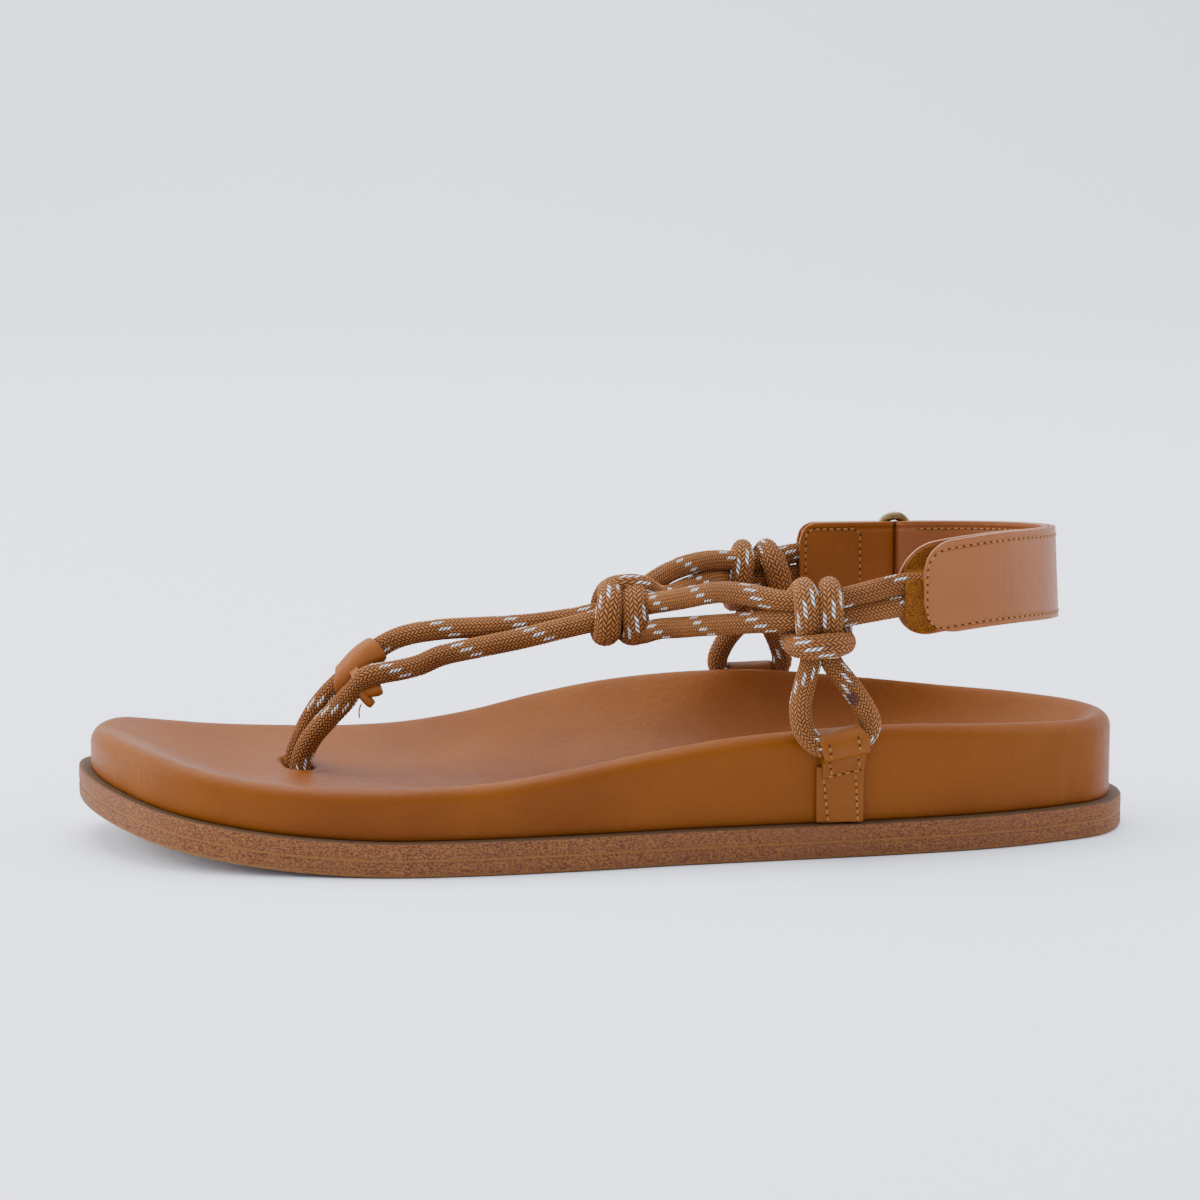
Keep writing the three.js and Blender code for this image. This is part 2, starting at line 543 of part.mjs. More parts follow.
// A side tab: a leather strip folded over the loop, sewn to itself below it and set on the wall.
function tabSolid(tab) {
  const { x, y, z } = onLast(tab);
  const side = y < 0 ? "outer" : "inner";
  const wall = outlinePoint({ side, angle: stationAngle(toShare(x)) }, LEDGE).y;
  const outside = ROPE_RADIUS + SEAT_GAP + TAB_LEAF;
  const foot = outsoleTop(x) + SEAT_GAP;
  const near = Math.abs(wall) + SEAT_GAP;
  const far = near + 2 * TAB_LEAF;
  const centre = Math.abs(y);
  const shape = new THREE.Shape();
  shape.moveTo(near, foot);
  shape.lineTo(far - TAB_STEP, foot);
  shape.lineTo(far - TAB_STEP, tab.seam * TALL);
  shape.lineTo(far, tab.seam * TALL);
  const below = -FOLD_SWELL;
  const start = { x: centre + outside * Math.cos(below), y: z + outside * Math.sin(below) };
  shape.quadraticCurveTo(far, z - outside, start.x, start.y);
  shape.absarc(centre, z, outside, below, FOLD_TURN, false);
  shape.lineTo(near, z - outside);
  const geometry = slab(shape, TAB_WIDTH);
  geometry.rotateX(Math.PI / 2);
  geometry.rotateZ(Math.PI / 2);
  geometry.translate(x - TAB_WIDTH / 2, 0, 0);
  if (y < 0) geometry.scale(1, -1, 1);
  return solid(geometry);
}

// The toe keeper: a leather band round both toe strands, wide over the top and pinched below, with
// its two ends rolled up under it.
function keeperSolid() {
  const along = new THREE.Vector3(KEEPER.along.x, KEEPER.along.y, KEEPER.along.z).normalize();
  const across = new THREE.Vector3(0, 1, 0).addScaledVector(along, -along.y).normalize();
  const up = new THREE.Vector3().crossVectors(along, across);
  const place = new THREE.Matrix4().makeBasis(across, up, along).setPosition(onLast(KEEPER.middle));
  const strand = new THREE.Vector2(KEEPER.strand.across, KEEPER.strand.up);
  const reach = ROPE_RADIUS + SEAT_GAP + KEEPER_LEAF;
  const turn = strand.angle();
  const shape = new THREE.Shape();
  shape.absarc(strand.x, strand.y, reach, turn - Math.PI / 2, turn + Math.PI / 2, false);
  shape.absarc(-strand.x, -strand.y, reach, turn + Math.PI / 2, turn + 1.5 * Math.PI, false);
  const band = slab(shape, KEEPER_WIDTH);
  band.translate(0, 0, -KEEPER_WIDTH / 2);
  const edge = strand.length() + reach;
  const wedge = new THREE.Shape();
  wedge.moveTo(edge, -KEEPER_WIDTH / 2);
  wedge.lineTo(edge, KEEPER_WIDTH / 2);
  wedge.lineTo(0, KEEPER_WIDTH / 2);
  wedge.lineTo(-edge, KEEPER_PINCH / 2);
  wedge.lineTo(-edge, -KEEPER_PINCH / 2);
  wedge.lineTo(0, -KEEPER_WIDTH / 2);
  const trim = slab(wedge, 2 * edge);
  trim.rotateX(Math.PI / 2);
  trim.translate(0, edge, 0);
  band.applyMatrix4(place);
  trim.applyMatrix4(place);
  const tails = KEEPER_TAILS.map((tail) => ropeSolid(tail.map(onLast), KEEPER_TAIL, 2 * KEEPER_TAIL));
  return join([solid(band).intersect(solid(trim)), ...tails]);
}

const APART = LEAF + LEAF_GAP; // between the middles of two leaves that lie together
const BAR_TURN = RING_WIRE / 2 + SEAT_GAP + LEAF / 2; // radius of a leaf's turn round a ring bar
const RING_HALF = RING_WIRE / 2 + LEAF + 1.5 * SEAT_GAP; // ring centre to a bar's centre
const BAR_Y = FOOT_LINE + STRAP_HALF + BAR_TURN;
const ARC_LENGTH_X = STRAP_HALF + 1; // how far the turn round the heel reaches along the foot
const ARC_X = STRAP_BACK - APART - LEAF / 2 - ARC_LENGTH_X; // where that turn starts

// The heel strap's plan: from the outer front end round the heel to the ring on the inner side.
// Each place gives the middle of the inner leaf and the way out from the foot.
function strapPlan() {
  const places = [];
  for (let x = STRAP_NEAR_END; x < ARC_X; x += STRAP_STEP) {
    places.push({ x, y: FOOT_LINE - STRAP_HALF, out: [0, -1] });
  }
  for (let i = 0; i <= STRAP_ARC_STEPS; i++) {
    const angle = Math.PI * (i / STRAP_ARC_STEPS - 0.5);
    const x = ARC_X + ARC_LENGTH_X * Math.cos(angle);
    const y = FOOT_LINE + STRAP_HALF * Math.sin(angle);
    const out = [Math.cos(angle) / ARC_LENGTH_X, Math.sin(angle) / STRAP_HALF];
    const size = Math.hypot(...out);
    places.push({ x, y, out: out.map((v) => v / size) });
  }
  return places;
}

// Distance from the inner leaf's middle to the outer leaf's middle at a place along the strap.
function leafDistance({ x, y }) {
  if (y < FOOT_LINE) return APART + FLAP_STAND * (1 - smooth((x - FLAP_TIP - FLAP_FLAT) / FLAP_RUN));
  return mix(APART, 2 * BAR_TURN, 1 - smooth((x - RING_X - RING_HALF) / BAR_RUN));
}

// The plan shape between two distances out from the places of the inner leaf.
function ribbon(places, from, to) {
  const at = (distance) =>
    places.map((place) => {
      const away = distance(place);
      return new THREE.Vector2(place.x + place.out[0] * away, place.y + place.out[1] * away);
    });
  return new THREE.Shape([...at(from), ...at(to).reverse()]);
}

// What is cut from a strap's square end to round its corners.
function endCutter(front, topRadius, bottomRadius) {
  const half = STRAP_WIDTH / 2;
  const spare = STRAP_WIDTH / 4;
  const shape = new THREE.Shape();
  shape.moveTo(front - spare, -half - spare);
  shape.lineTo(front + bottomRadius, -half - spare);
  shape.lineTo(front + bottomRadius, -half);
  shape.absarc(front + bottomRadius, -half + bottomRadius, bottomRadius, 1.5 * Math.PI, Math.PI, true);
  shape.absarc(front + topRadius, half - topRadius, topRadius, Math.PI, Math.PI / 2, true);
  shape.lineTo(front + topRadius, half + spare);
  shape.lineTo(front - spare, half + spare);
  const geometry = slab(shape, 2 * STRAP_HALF);
  geometry.rotateX(Math.PI / 2);
  return geometry;
}

// Sets a strap piece, drawn upright about z = 0, at its height, tilt, droop and lean.
function tilt(geometry) {
  const at = geometry.getAttribute("position");
  for (let i = 0; i < at.count; i++) {
    const [x, y, z] = [at.getX(i), at.getY(i), at.getZ(i)];
    const ahead = y < FOOT_LINE ? Math.max(0, DROOP_START - x) : 0;
    at.setX(i, x - STRAP_LEAN * z * smooth((x - ARC_X) / ARC_LENGTH_X));
    at.setZ(i, z + STRAP_HEIGHT + STRAP_TILT * (y - FOOT_LINE) - FLAP_DROOP * ahead ** 2);
  }
  return geometry;
}

function upright(shape) {
  const geometry = slab(shape, STRAP_WIDTH);
  geometry.translate(0, 0, -STRAP_WIDTH / 2);
  return solid(geometry);
}

// The leaf's turn round the ring's back bar: half a tube, open towards the heel.
function turnShape(x) {
  const shape = new THREE.Shape();
  shape.absarc(x, BAR_Y, BAR_TURN + LEAF / 2, Math.PI / 2, 1.5 * Math.PI, false);
  shape.absarc(x, BAR_Y, BAR_TURN - LEAF / 2, 1.5 * Math.PI, Math.PI / 2, true);
  return shape;
}

// The heel strap: the inner leaf, its turn round the ring's back bar, and the outer leaf that comes
// back round the heel and ends in the flap, over the sewn rope ends.
function heelStrapSolid() {
  const bar = { x: RING_X + RING_HALF, y: FOOT_LINE + STRAP_HALF, out: [0, 1] };
  const tip = { x: FLAP_TIP, y: FOOT_LINE - STRAP_HALF, out: [0, -1] };
  const plan = [...strapPlan(), bar];
  const flap = [tip, ...plan.filter(({ x, y }) => y > FOOT_LINE || x > FLAP_TIP)];
  const sewn = flap.filter(({ x, y }) => y < FOOT_LINE && x < DROOP_START);
  const inner = upright(ribbon(plan, () => -LEAF / 2, () => LEAF / 2));
  const outer = upright(
    ribbon(flap, (place) => leafDistance(place) - LEAF / 2, (place) => leafDistance(place) + LEAF / 2),
  );
  const between = upright(ribbon(sewn, () => LEAF / 4, leafDistance));
  const cutInner = solid(endCutter(STRAP_NEAR_END, STRAP_END_CORNER, STRAP_END_CORNER));
  const cutFlap = solid(endCutter(FLAP_TIP, FLAP_TOP_CORNER, FLAP_LOW_CORNER));
  const front = outer.add(between).subtract(cutFlap);
  return join([inner.subtract(cutInner), front, upright(turnShape(bar.x))]);
}

// The ring tab: a leaf folded round the ring's front bar, with the inner ropes sewn in between.
function ringTabSolid() {
  const barX = RING_X - RING_HALF;
  const hole = RING_WIRE / 2 + SEAT_GAP;
  const half = (PRESSED_ROPE + 2 * LEAF) / 2;
  const shape = new THREE.Shape();
  shape.moveTo(RING_TAB_FRONT, BAR_Y - half);
  shape.lineTo(RING_TAB_SLOT, BAR_Y - half);
  shape.lineTo(barX, BAR_Y - hole - LEAF);
  shape.absarc(barX, BAR_Y, hole + LEAF, -Math.PI / 2, Math.PI / 2, false);
  shape.lineTo(RING_TAB_SLOT, BAR_Y + half);
  shape.lineTo(RING_TAB_FRONT, BAR_Y + half);
  const slot = new THREE.Path();
  const mouth = Math.asin(LEAF_GAP / hole);
  slot.moveTo(RING_TAB_SLOT, BAR_Y - LEAF_GAP);
  slot.lineTo(barX - hole * Math.cos(mouth), BAR_Y - LEAF_GAP);
  slot.absarc(barX, BAR_Y, hole, Math.PI + mouth, Math.PI - mouth, false);
  slot.lineTo(RING_TAB_SLOT, BAR_Y + LEAF_GAP);
  shape.holes.push(slot);
  const corner = endCutter(RING_TAB_FRONT, RING_TAB_CORNER, RING_TAB_CORNER);
  corner.translate(0, BAR_Y + STRAP_HALF, 0);
  return upright(shape).subtract(solid(corner));
}

// The ring: an upright oval of round wire, two bars wide. A margin swells the wire.
function ringSolid(margin) {
  const geometry = new THREE.TorusGeometry(RING_HALF, RING_WIRE / 2 + margin, ROPE_SIDES, RING_STEPS);
  geometry.rotateZ(Math.PI / RING_STEPS);
  const at = geometry.getAttribute("position");
  const stretch = STRAP_WIDTH / 2 - RING_SHORT;
  for (let i = 0; i < at.count; i++) {
    const [x, y, z] = [at.getX(i), at.getY(i), at.getZ(i)];
    at.setXYZ(i, x + RING_X, BAR_Y + z, y + Math.sign(y) * stretch);
  }
  return solid(geometry);
}

const group = new THREE.Group();
const leather = new THREE.MeshStandardMaterial({ color: 0xa5642e, roughness: 0.5 });
const strapLeather = new THREE.MeshStandardMaterial({ color: 0xa0633a, roughness: 0.5 });
const ropeFabric = new THREE.MeshStandardMaterial({ color: 0x8d5423, roughness: 0.85 });
const stack = new THREE.MeshStandardMaterial({ color: 0x8a5230, roughness: 0.75 });
const brass = new THREE.MeshStandardMaterial({ color: 0x7d6a3c, roughness: 0.35, metalness: 1 });

const ropeRoom = harnessSolid(SEAT_GAP);
const outerLoopRoom = loopSolid(OUTER_LOOP, SEAT_GAP);
const innerLoopRoom = loopSolid(INNER_LOOP, SEAT_GAP);
const bedRoom = footbedSolid(SEAT_GAP);
const ringRoom = ringSolid(SEAT_GAP);

// Beside others, a piece gives up the room that they take.
const clear = (made, ...rooms) => rooms.reduce((left, room) => left.subtract(room), made);

function rope(name, made) {
  return toMesh(name, made.simplify(ROPE_FINEST), ropeFabric);
}

// A strap piece is cut level, then set at its height and tilt.
function strapPiece(name, made, material) {
  return toMesh(name, clear(solid(tilt(toMesh("", made).geometry)), ropeRoom), material);
}

group.add(toMesh("outsole", outsoleSolid(), stack));
group.add(toMesh("footbed", clear(footbedSolid(0), ropeRoom), leather));
group.add(rope("rope_harness", harnessSolid(0)));
group.add(rope("outer_loop", clear(loopSolid(OUTER_LOOP, 0), ropeRoom, bedRoom)));
group.add(rope("inner_loop", clear(loopSolid(INNER_LOOP, 0), ropeRoom, bedRoom)));
group.add(toMesh("outer_tab", clear(tabSolid(OUTER_TAB), outerLoopRoom, bedRoom), leather));
group.add(toMesh("inner_tab", clear(tabSolid(INNER_TAB), innerLoopRoom, bedRoom), leather));
group.add(toMesh("toe_keeper", clear(keeperSolid(), ropeRoom), strapLeather));
group.add(strapPiece("heel_strap", clear(heelStrapSolid(), ringRoom), strapLeather));
group.add(strapPiece("ring_tab", clear(ringTabSolid(), ringRoom), strapLeather));
group.add(strapPiece("ring", ringSolid(0), brass));

export default group;
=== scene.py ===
# %% [markdown]
# A rope sandal, dressed for its picture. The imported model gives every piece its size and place. This
# file puts a finer, softer piece over each solid and gives it its finish: moulded leather, sewn
# straps, braided cord, stacked rubber and aged brass.

# %% The frame
import math

import bmesh
import bpy
import numpy as np
from mathutils import Matrix, Vector


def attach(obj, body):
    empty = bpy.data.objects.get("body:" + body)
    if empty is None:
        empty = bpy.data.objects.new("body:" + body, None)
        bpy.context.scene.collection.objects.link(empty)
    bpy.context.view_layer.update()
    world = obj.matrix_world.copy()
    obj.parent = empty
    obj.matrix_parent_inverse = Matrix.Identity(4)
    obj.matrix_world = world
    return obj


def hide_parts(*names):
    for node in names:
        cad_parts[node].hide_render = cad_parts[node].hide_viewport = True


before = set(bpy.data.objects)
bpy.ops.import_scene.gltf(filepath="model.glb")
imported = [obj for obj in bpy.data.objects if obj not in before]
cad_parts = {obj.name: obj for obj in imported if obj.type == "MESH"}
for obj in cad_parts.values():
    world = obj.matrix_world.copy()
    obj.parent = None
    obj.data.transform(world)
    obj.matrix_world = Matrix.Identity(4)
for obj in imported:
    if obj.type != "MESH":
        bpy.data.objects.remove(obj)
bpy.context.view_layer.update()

MM = 0.001

# %% [markdown]
# The camera stands where the photographer stood: low, almost square to the outer side, and far
# enough away for a long lens. Its place was worked out from the sole's outline, so it is given as a
# place and a target and never moved by eye.

# %% The camera
CAMERA_PLACE = Vector((-92.7, -874.3, 191.2)) * MM
CAMERA_TARGET = Vector((-1.42, 2.2, 57.47)) * MM
LENS = 109.24
FILM_WIDTH = 36
NEAR_CLIP = 0.01


def add_camera():
    bpy.ops.object.camera_add(location=CAMERA_PLACE)
    camera = bpy.context.object
    camera.rotation_euler = (CAMERA_TARGET - CAMERA_PLACE).to_track_quat("-Z", "Y").to_euler()
    camera.data.lens = LENS
    camera.data.sensor_width = FILM_WIDTH
    camera.data.clip_start = NEAR_CLIP
    bpy.context.scene.camera = camera


bpy.ops.object.select_all(action="DESELECT")
add_camera()
print("camera distance", round((CAMERA_TARGET - CAMERA_PLACE).length * 1000), "mm")

# %% [markdown]
# A finish is a small sum of textures. Writing each node by hand is slow to read, so this helper lets
# a finish be written as short lines of arithmetic, and each line makes one node.


# %% A helper for finishes
class Finish:
    """A material and the nodes that feed it."""

    def __init__(self, name, **sockets):
        self.material = bpy.data.materials.new(name)
        self.material.use_nodes = True
        self.tree = self.material.node_tree
        self.tree.nodes.clear()
        self.shader = self.tree.nodes.new("ShaderNodeBsdfPrincipled")
        output = self.tree.nodes.new("ShaderNodeOutputMaterial")
        self.tree.links.new(self.shader.outputs[0], output.inputs["Surface"])
        for name, value in sockets.items():
            self.shader.inputs[name.replace("_", " ").title().replace("Ior", "IOR")].default_value = value
        self.height = None

    def feed(self, socket, value):
        if isinstance(value, bpy.types.NodeSocket):
            self.tree.links.new(value, socket)
        elif value is not None:
            socket.default_value = (*value, 1) if socket.type == "RGBA" else value

    def node(self, kind, *inputs, **settings):
        made = self.tree.nodes.new("ShaderNode" + kind)
        for key, value in settings.items():
            if key in made.inputs:
                self.feed(made.inputs[key], value)
            else:
                setattr(made, key, value)
        for socket, value in zip(made.inputs, inputs):
            self.feed(socket, value)
        return made

    def math(self, operation, *values):
        return self.node("Math", *values, operation=operation).outputs[0]

    def plus(self, first, second):
        return self.math("ADD", first, second)

    def minus(self, first, second):
        return self.math("SUBTRACT", first, second)

    def times(self, first, second):
        return self.math("MULTIPLY", first, second)

    def off(self, value, middle):
        """How far a value is from a middle one, on either side."""
        return self.math("ABSOLUTE", self.minus(value, middle))

    def place(self, stretch=(1, 1, 1)):
        """Where a point is on the piece, in millimetres, stretched by a factor on each axis."""
        spot = self.node("TexCoord").outputs["Object"]
        made = self.node("Mapping", spot)
        made.inputs["Scale"].default_value = [1000 * v for v in stretch]
        return made.outputs[0]

    def away_from(self, x, y, z):
        """The distance of a point from a place, in millimetres."""
        return self.node("VectorMath", self.place(), (x, y, z), operation="DISTANCE").outputs["Value"]

    def on_sheet(self):
        """Where a point is on its sheet: along and across."""
        made = self.node("SeparateXYZ", self.node("TexCoord").outputs["UV"])
        return made.outputs[0], made.outputs[1]

    def noise(self, scale, detail=2, rough=0.5, stretch=(1, 1, 1)):
        spot = self.place(stretch)
        made = self.node("TexNoise", Vector=spot, Scale=scale, Detail=detail, Roughness=rough)
        return made.outputs["Fac"]

    def cells(self, scale, feature="F1"):
        made = self.node("TexVoronoi", Vector=self.place(), Scale=scale, feature=feature)
        return made.outputs["Distance"]

    def between(self, value, low, high):
        """0 below low, 1 above high, and a soft step in between."""
        made = self.node("MapRange", value, low, high, interpolation_type="SMOOTHSTEP")
        return made.outputs[0]

    def mix(self, share, first, second):
        made = self.node("Mix", data_type="RGBA")
        for socket, value in zip([made.inputs[0], made.inputs[6], made.inputs[7]], [share, first, second]):
            self.feed(socket, value)
        return made.outputs[2]

    def lay_over(self, base, colour, share, strength):
        """Lays a colour over a base, where a share says so, at a strength."""
        return self.mix(self.times(share, strength), base, colour)

    def colour(self, value):
        self.feed(self.shader.inputs["Base Color"], value)

    def rough(self, value):
        self.feed(self.shader.inputs["Roughness"], value)

    def relief(self, value, depth):
        """Adds a bump of a depth in millimetres on top of those before it."""
        made = self.node("Bump", Height=value, Distance=depth * MM, Normal=self.height)
        self.height = made.outputs[0]
        self.tree.links.new(self.height, self.shader.inputs["Normal"])

    def on(self, piece):
        piece.data.materials.clear()
        piece.data.materials.append(self.material)


# %% [markdown]
# The floor is a plain pale sheet that rises behind the sandal in one soft bend, as in a product
# studio, so no horizon shows. A plane is extruded upwards at its back edge, and the edge between is
# bevelled wide.

# %% Floor
FLOOR_REACH = 3.0
FLOOR_RISE = 3
BEND = 1.4
BEND_STEPS = 24


def add_floor():
    bpy.ops.mesh.primitive_plane_add(size=2 * FLOOR_REACH, location=(0, 0, 0))
    floor = bpy.context.object
    floor.name = "studio_floor"
    bpy.ops.object.mode_set(mode="EDIT")
    bpy.ops.mesh.select_mode(type="EDGE")
    mesh = bmesh.from_edit_mesh(floor.data)
    for edge in mesh.edges:
        edge.select_set(all(v.co.y > 0 for v in edge.verts))
    mesh.select_flush_mode()
    bpy.ops.mesh.extrude_region_move(TRANSFORM_OT_translate={"value": (0, 0, FLOOR_RISE)})
    mesh = bmesh.from_edit_mesh(floor.data)
    for edge in mesh.edges:
        edge.select_set(all(v.co.y > 0 and v.co.z < 1 for v in edge.verts))
    bpy.ops.mesh.bevel(offset=BEND, segments=BEND_STEPS)
    bpy.ops.object.mode_set(mode="OBJECT")
    bpy.ops.object.shade_smooth()
    return floor


bpy.ops.object.select_all(action="DESELECT")
floor = add_floor()
paper = Finish("pale_paper", roughness=0.9)
paper.colour((0.86, 0.88, 0.94))
paper.on(floor)

# %% [markdown]
# Soft light from a tent of white cloth: a wide lamp overhead, one at each end of the sandal, which
# brightens toe and heel, a weak one from the camera's side, and one for the paper behind. Large
# lamps give the faint, wide shadow that the picture has.

# %% Lights
SANDAL = (0, 0, 0.03)
LAMPS = [  # place, what it points at, size, power and colour
    ((-0.15, 0.45, 1.5), SANDAL, 1.5, 34, (1, 0.99, 0.97)),
    ((-1.4, 0.1, 0.7), SANDAL, 1.1, 24, (0.97, 0.98, 1)),
    ((1.4, 0.2, 0.7), SANDAL, 1.1, 12, (0.97, 0.98, 1)),
    ((-0.3, -1.5, 0.9), SANDAL, 1.3, 5, (1, 1, 1)),
    ((0, 1.3, 1.9), (0, 3, 1.2), 1.6, 40, (0.96, 0.98, 1)),
]
SKY = (0.79, 0.85, 1.0)
SKY_BEHIND = 2.05
SKY_BY_CAMERA = 0.8
SKY_FROM, SKY_TO = -0.8, 0.3  # the tent brightens between these, from the camera's side on


def add_lamp(place, aim, size, watts, colour):
    bpy.ops.object.light_add(type="AREA", location=place)
    lamp = bpy.context.object
    lamp.rotation_euler = (Vector(aim) - Vector(place)).to_track_quat("-Z", "Y").to_euler()
    lamp.data.size = size
    lamp.data.energy = watts
    lamp.data.color = colour


def add_sky():
    """The tent: bright above and behind the sandal, dimmer towards its outer side."""
    world = bpy.data.worlds.new("tent")
    world.use_nodes = True
    nodes, links = world.node_tree.nodes, world.node_tree.links
    background = nodes["Background"]
    background.inputs[0].default_value = (*SKY, 1)
    split = nodes.new("ShaderNodeSeparateXYZ")
    links.new(nodes.new("ShaderNodeTexCoord").outputs["Generated"], split.inputs[0])
    bright = nodes.new("ShaderNodeMapRange")
    bright.interpolation_type = "SMOOTHSTEP"
    for socket, value in zip(bright.inputs[1:], (SKY_FROM, SKY_TO, SKY_BY_CAMERA, SKY_BEHIND)):
        socket.default_value = value
    links.new(split.outputs[1], bright.inputs[0])
    links.new(bright.outputs[0], background.inputs[1])
    bpy.context.scene.world = world


for lamp in LAMPS:
    add_lamp(*lamp)
add_sky()
print(len(LAMPS), "lamps and a tent")

# %% [markdown]
# Two ways of making a surface serve the whole sandal. The sole's pieces are stacks of rings: a
# circle is added once, then extruded edge by edge, and each new ring is set to its outline. Cords
# and straps are sheets: a flat grid is rolled or bent into place. Both keep a known order of points,
# so patterns can follow them.


# %% Helpers for modelling
def fresh():
    """Leaves nothing selected, so that an operator acts only on what comes next."""
    if bpy.context.object and bpy.context.object.mode != "OBJECT":
        bpy.ops.object.mode_set(mode="OBJECT")
    bpy.ops.object.select_all(action="DESELECT")


def take(piece):
    fresh()
    piece.select_set(True)
    bpy.context.view_layer.objects.active = piece


def named(name):
    piece = bpy.context.object
    piece.name = piece.data.name = name
    return piece


def ring_stack(name, rings):
    """A closed skin through rings, given in millimetres with as many points each."""
    count = len(rings[0])
    fresh()
    bpy.ops.mesh.primitive_circle_add(vertices=count, radius=1)
    piece = named(name)
    bpy.ops.object.mode_set(mode="EDIT")
    bpy.ops.mesh.select_mode(type="EDGE")
    bpy.ops.mesh.select_all(action="SELECT")
    ring = list(range(count))
    for level, points in enumerate(rings):
        if level:
            bpy.ops.mesh.extrude_region()
        mesh = bmesh.from_edit_mesh(piece.data)
        mesh.verts.index_update()
        mesh.verts.ensure_lookup_table()
        if level:
            ring = [raised(mesh.verts[i]) for i in ring]
            mesh.verts.ensure_lookup_table()
        for i, point in zip(ring, points):
            mesh.verts[i].co = Vector([float(v) for v in point]) * MM
        bmesh.update_edit_mesh(piece.data)
    bpy.ops.object.mode_set(mode="OBJECT")
    return piece


def raised(vertex):
    """The new point that an extrusion drew out of this one."""
    others = [edge.other_vert(vertex) for edge in vertex.link_edges]
    return next(other.index for other in others if other.select)


def flat_sheet(name, along, across):
    """A flat grid, with each point's place along and across it, from 0 to 1, and its row."""
    fresh()
    bpy.ops.mesh.primitive_grid_add(x_subdivisions=along, y_subdivisions=across, size=2)
    piece = named(name)
    at = np.empty(3 * len(piece.data.vertices), dtype=np.float32)
    piece.data.vertices.foreach_get("co", at)
    s, a = (at.reshape(-1, 3)[:, :2].T + 1) / 2
    return piece, s, a, np.rint(s * along).astype(int)


def set_points(piece, points):
    piece.data.vertices.foreach_set("co", (np.asarray(points) * MM).astype(np.float32).ravel())
    piece.data.update()


def set_sheet(piece, along, across):
    """Writes each point's place on the sheet into the UV map."""
    corner = np.empty(len(piece.data.loops), dtype=np.int32)
    piece.data.loops.foreach_get("vertex_index", corner)
    both = np.stack([along[corner], across[corner]], axis=1).astype(np.float32)
    piece.data.uv_layers[0].data.foreach_set("uv", both.ravel())


def face_outwards(piece):
    """Turns every face outwards and shades the piece smooth."""
    take(piece)
    bpy.ops.object.mode_set(mode="EDIT")
    bpy.ops.mesh.select_all(action="SELECT")
    bpy.ops.mesh.normals_make_consistent(inside=False)
    bpy.ops.object.mode_set(mode="OBJECT")
    bpy.ops.object.shade_smooth()


def close_up(piece, gap=1e-6):
    """Merges points that fell together, fills open ends and turns the faces outwards."""
    take(piece)
    bpy.ops.object.mode_set(mode="EDIT")
    bpy.ops.mesh.select_all(action="SELECT")
    bpy.ops.mesh.remove_doubles(threshold=gap)
    bpy.ops.mesh.fill_holes(sides=0)
    face_outwards(piece)


def finish_with(piece, kind, **settings):
    take(piece)
    modifier = piece.modifiers.new(kind.lower(), kind)
    for key, value in settings.items():
        setattr(modifier, key, value)
    bpy.ops.object.modifier_apply(modifier=modifier.name)


def join_all(name, parts):
    take(parts[0])
    for part in parts:
        part.select_set(True)
    if len(parts) > 1:
        bpy.ops.object.join()
    return named(name)


def triangles(piece):
    return sum(len(face.vertices) - 2 for face in piece.data.polygons)


def settle(piece, slot, *nodes):
    """Stands a finished piece in for its solids."""
    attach(piece, "root")
    if nodes:
        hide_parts(*nodes)
    print(piece.name, triangles(piece), "triangles")


def smooth(t):
    t = np.clip(t, 0, 1)
    return t * t * (3 - 2 * t)


# %% [markdown]
# The sole's outline and heights repeat the model's own tables. Shares run from toe to heel, and the
# sides are shares of the width. A smooth curve through each column gives the value anywhere, and the
# stations crowd at the ends so that toe and heel come out round.

# %% The sole's measures
LENGTH = 258
WIDTH = 94.2
OUTSOLE_THICKNESS = 8.2
TOE_SPRING = 9.9
SPRING_ENDS_AT = 0.3
LEDGE = 3
RIM_ROUNDING = 3.5
TOE_BAR_HEIGHT = 1.2
TOE_BAR_WIDTH = 9
TOE_BAR_X = -75
SEAT_GAP = 0.3
SPINE_SHARE = 0.62
CREST_SOFTNESS = 0.05
SIDE_STATIONS = 150
HALF_STEP = 0.004  # half the turn over which the outline's direction is taken

# share of the length, outer and inner side
OUTLINE = np.array([
    (0, 0.12, 0.12), (0.03, -0.158, 0.328), (0.08, -0.327, 0.401), (0.15, -0.422, 0.456),
    (0.22, -0.468, 0.484), (0.3, -0.498, 0.5), (0.38, -0.491, 0.488), (0.46, -0.466, 0.448),
    (0.55, -0.427, 0.395), (0.65, -0.396, 0.363), (0.75, -0.364, 0.362), (0.85, -0.315, 0.373),
    (0.92, -0.249, 0.323), (0.97, -0.176, 0.228), (1, 0.023, 0.023),
])
# share, outer rim, inner rim, floor, and how sharply the floor turns up on each side
CONTOUR = np.array([
    (0, 8.6, 8.6, 5, 2.4, 2.4), (0.06, 10.7, 10.5, 4.6, 2.6, 2.6), (0.12, 10.8, 10.9, 4.7, 2.8, 2.8),
    (0.19, 11, 11.7, 5.2, 3, 3), (0.26, 11.6, 12.2, 5.3, 3, 3), (0.32, 12, 13.1, 5.2, 3, 2.8),
    (0.39, 12.9, 16.2, 5.3, 3, 2.4), (0.45, 15, 20.4, 6.2, 3, 2.1), (0.53, 18.3, 24.8, 7.6, 3, 2),
    (0.6, 20.8, 26.7, 8.6, 3.1, 2.1), (0.67, 22, 26.8, 9, 3.2, 2.4), (0.75, 22.6, 24.8, 8.8, 3.4, 3),
    (0.84, 21.7, 22.1, 8.5, 3.6, 3.4), (0.92, 20.6, 20.8, 8.6, 3.6, 3.6), (1, 20.2, 20.2, 9, 3.6, 3.6),
])


def turn_of(share):
    return np.arccos(1 - 2 * np.clip(share, 0, 1))


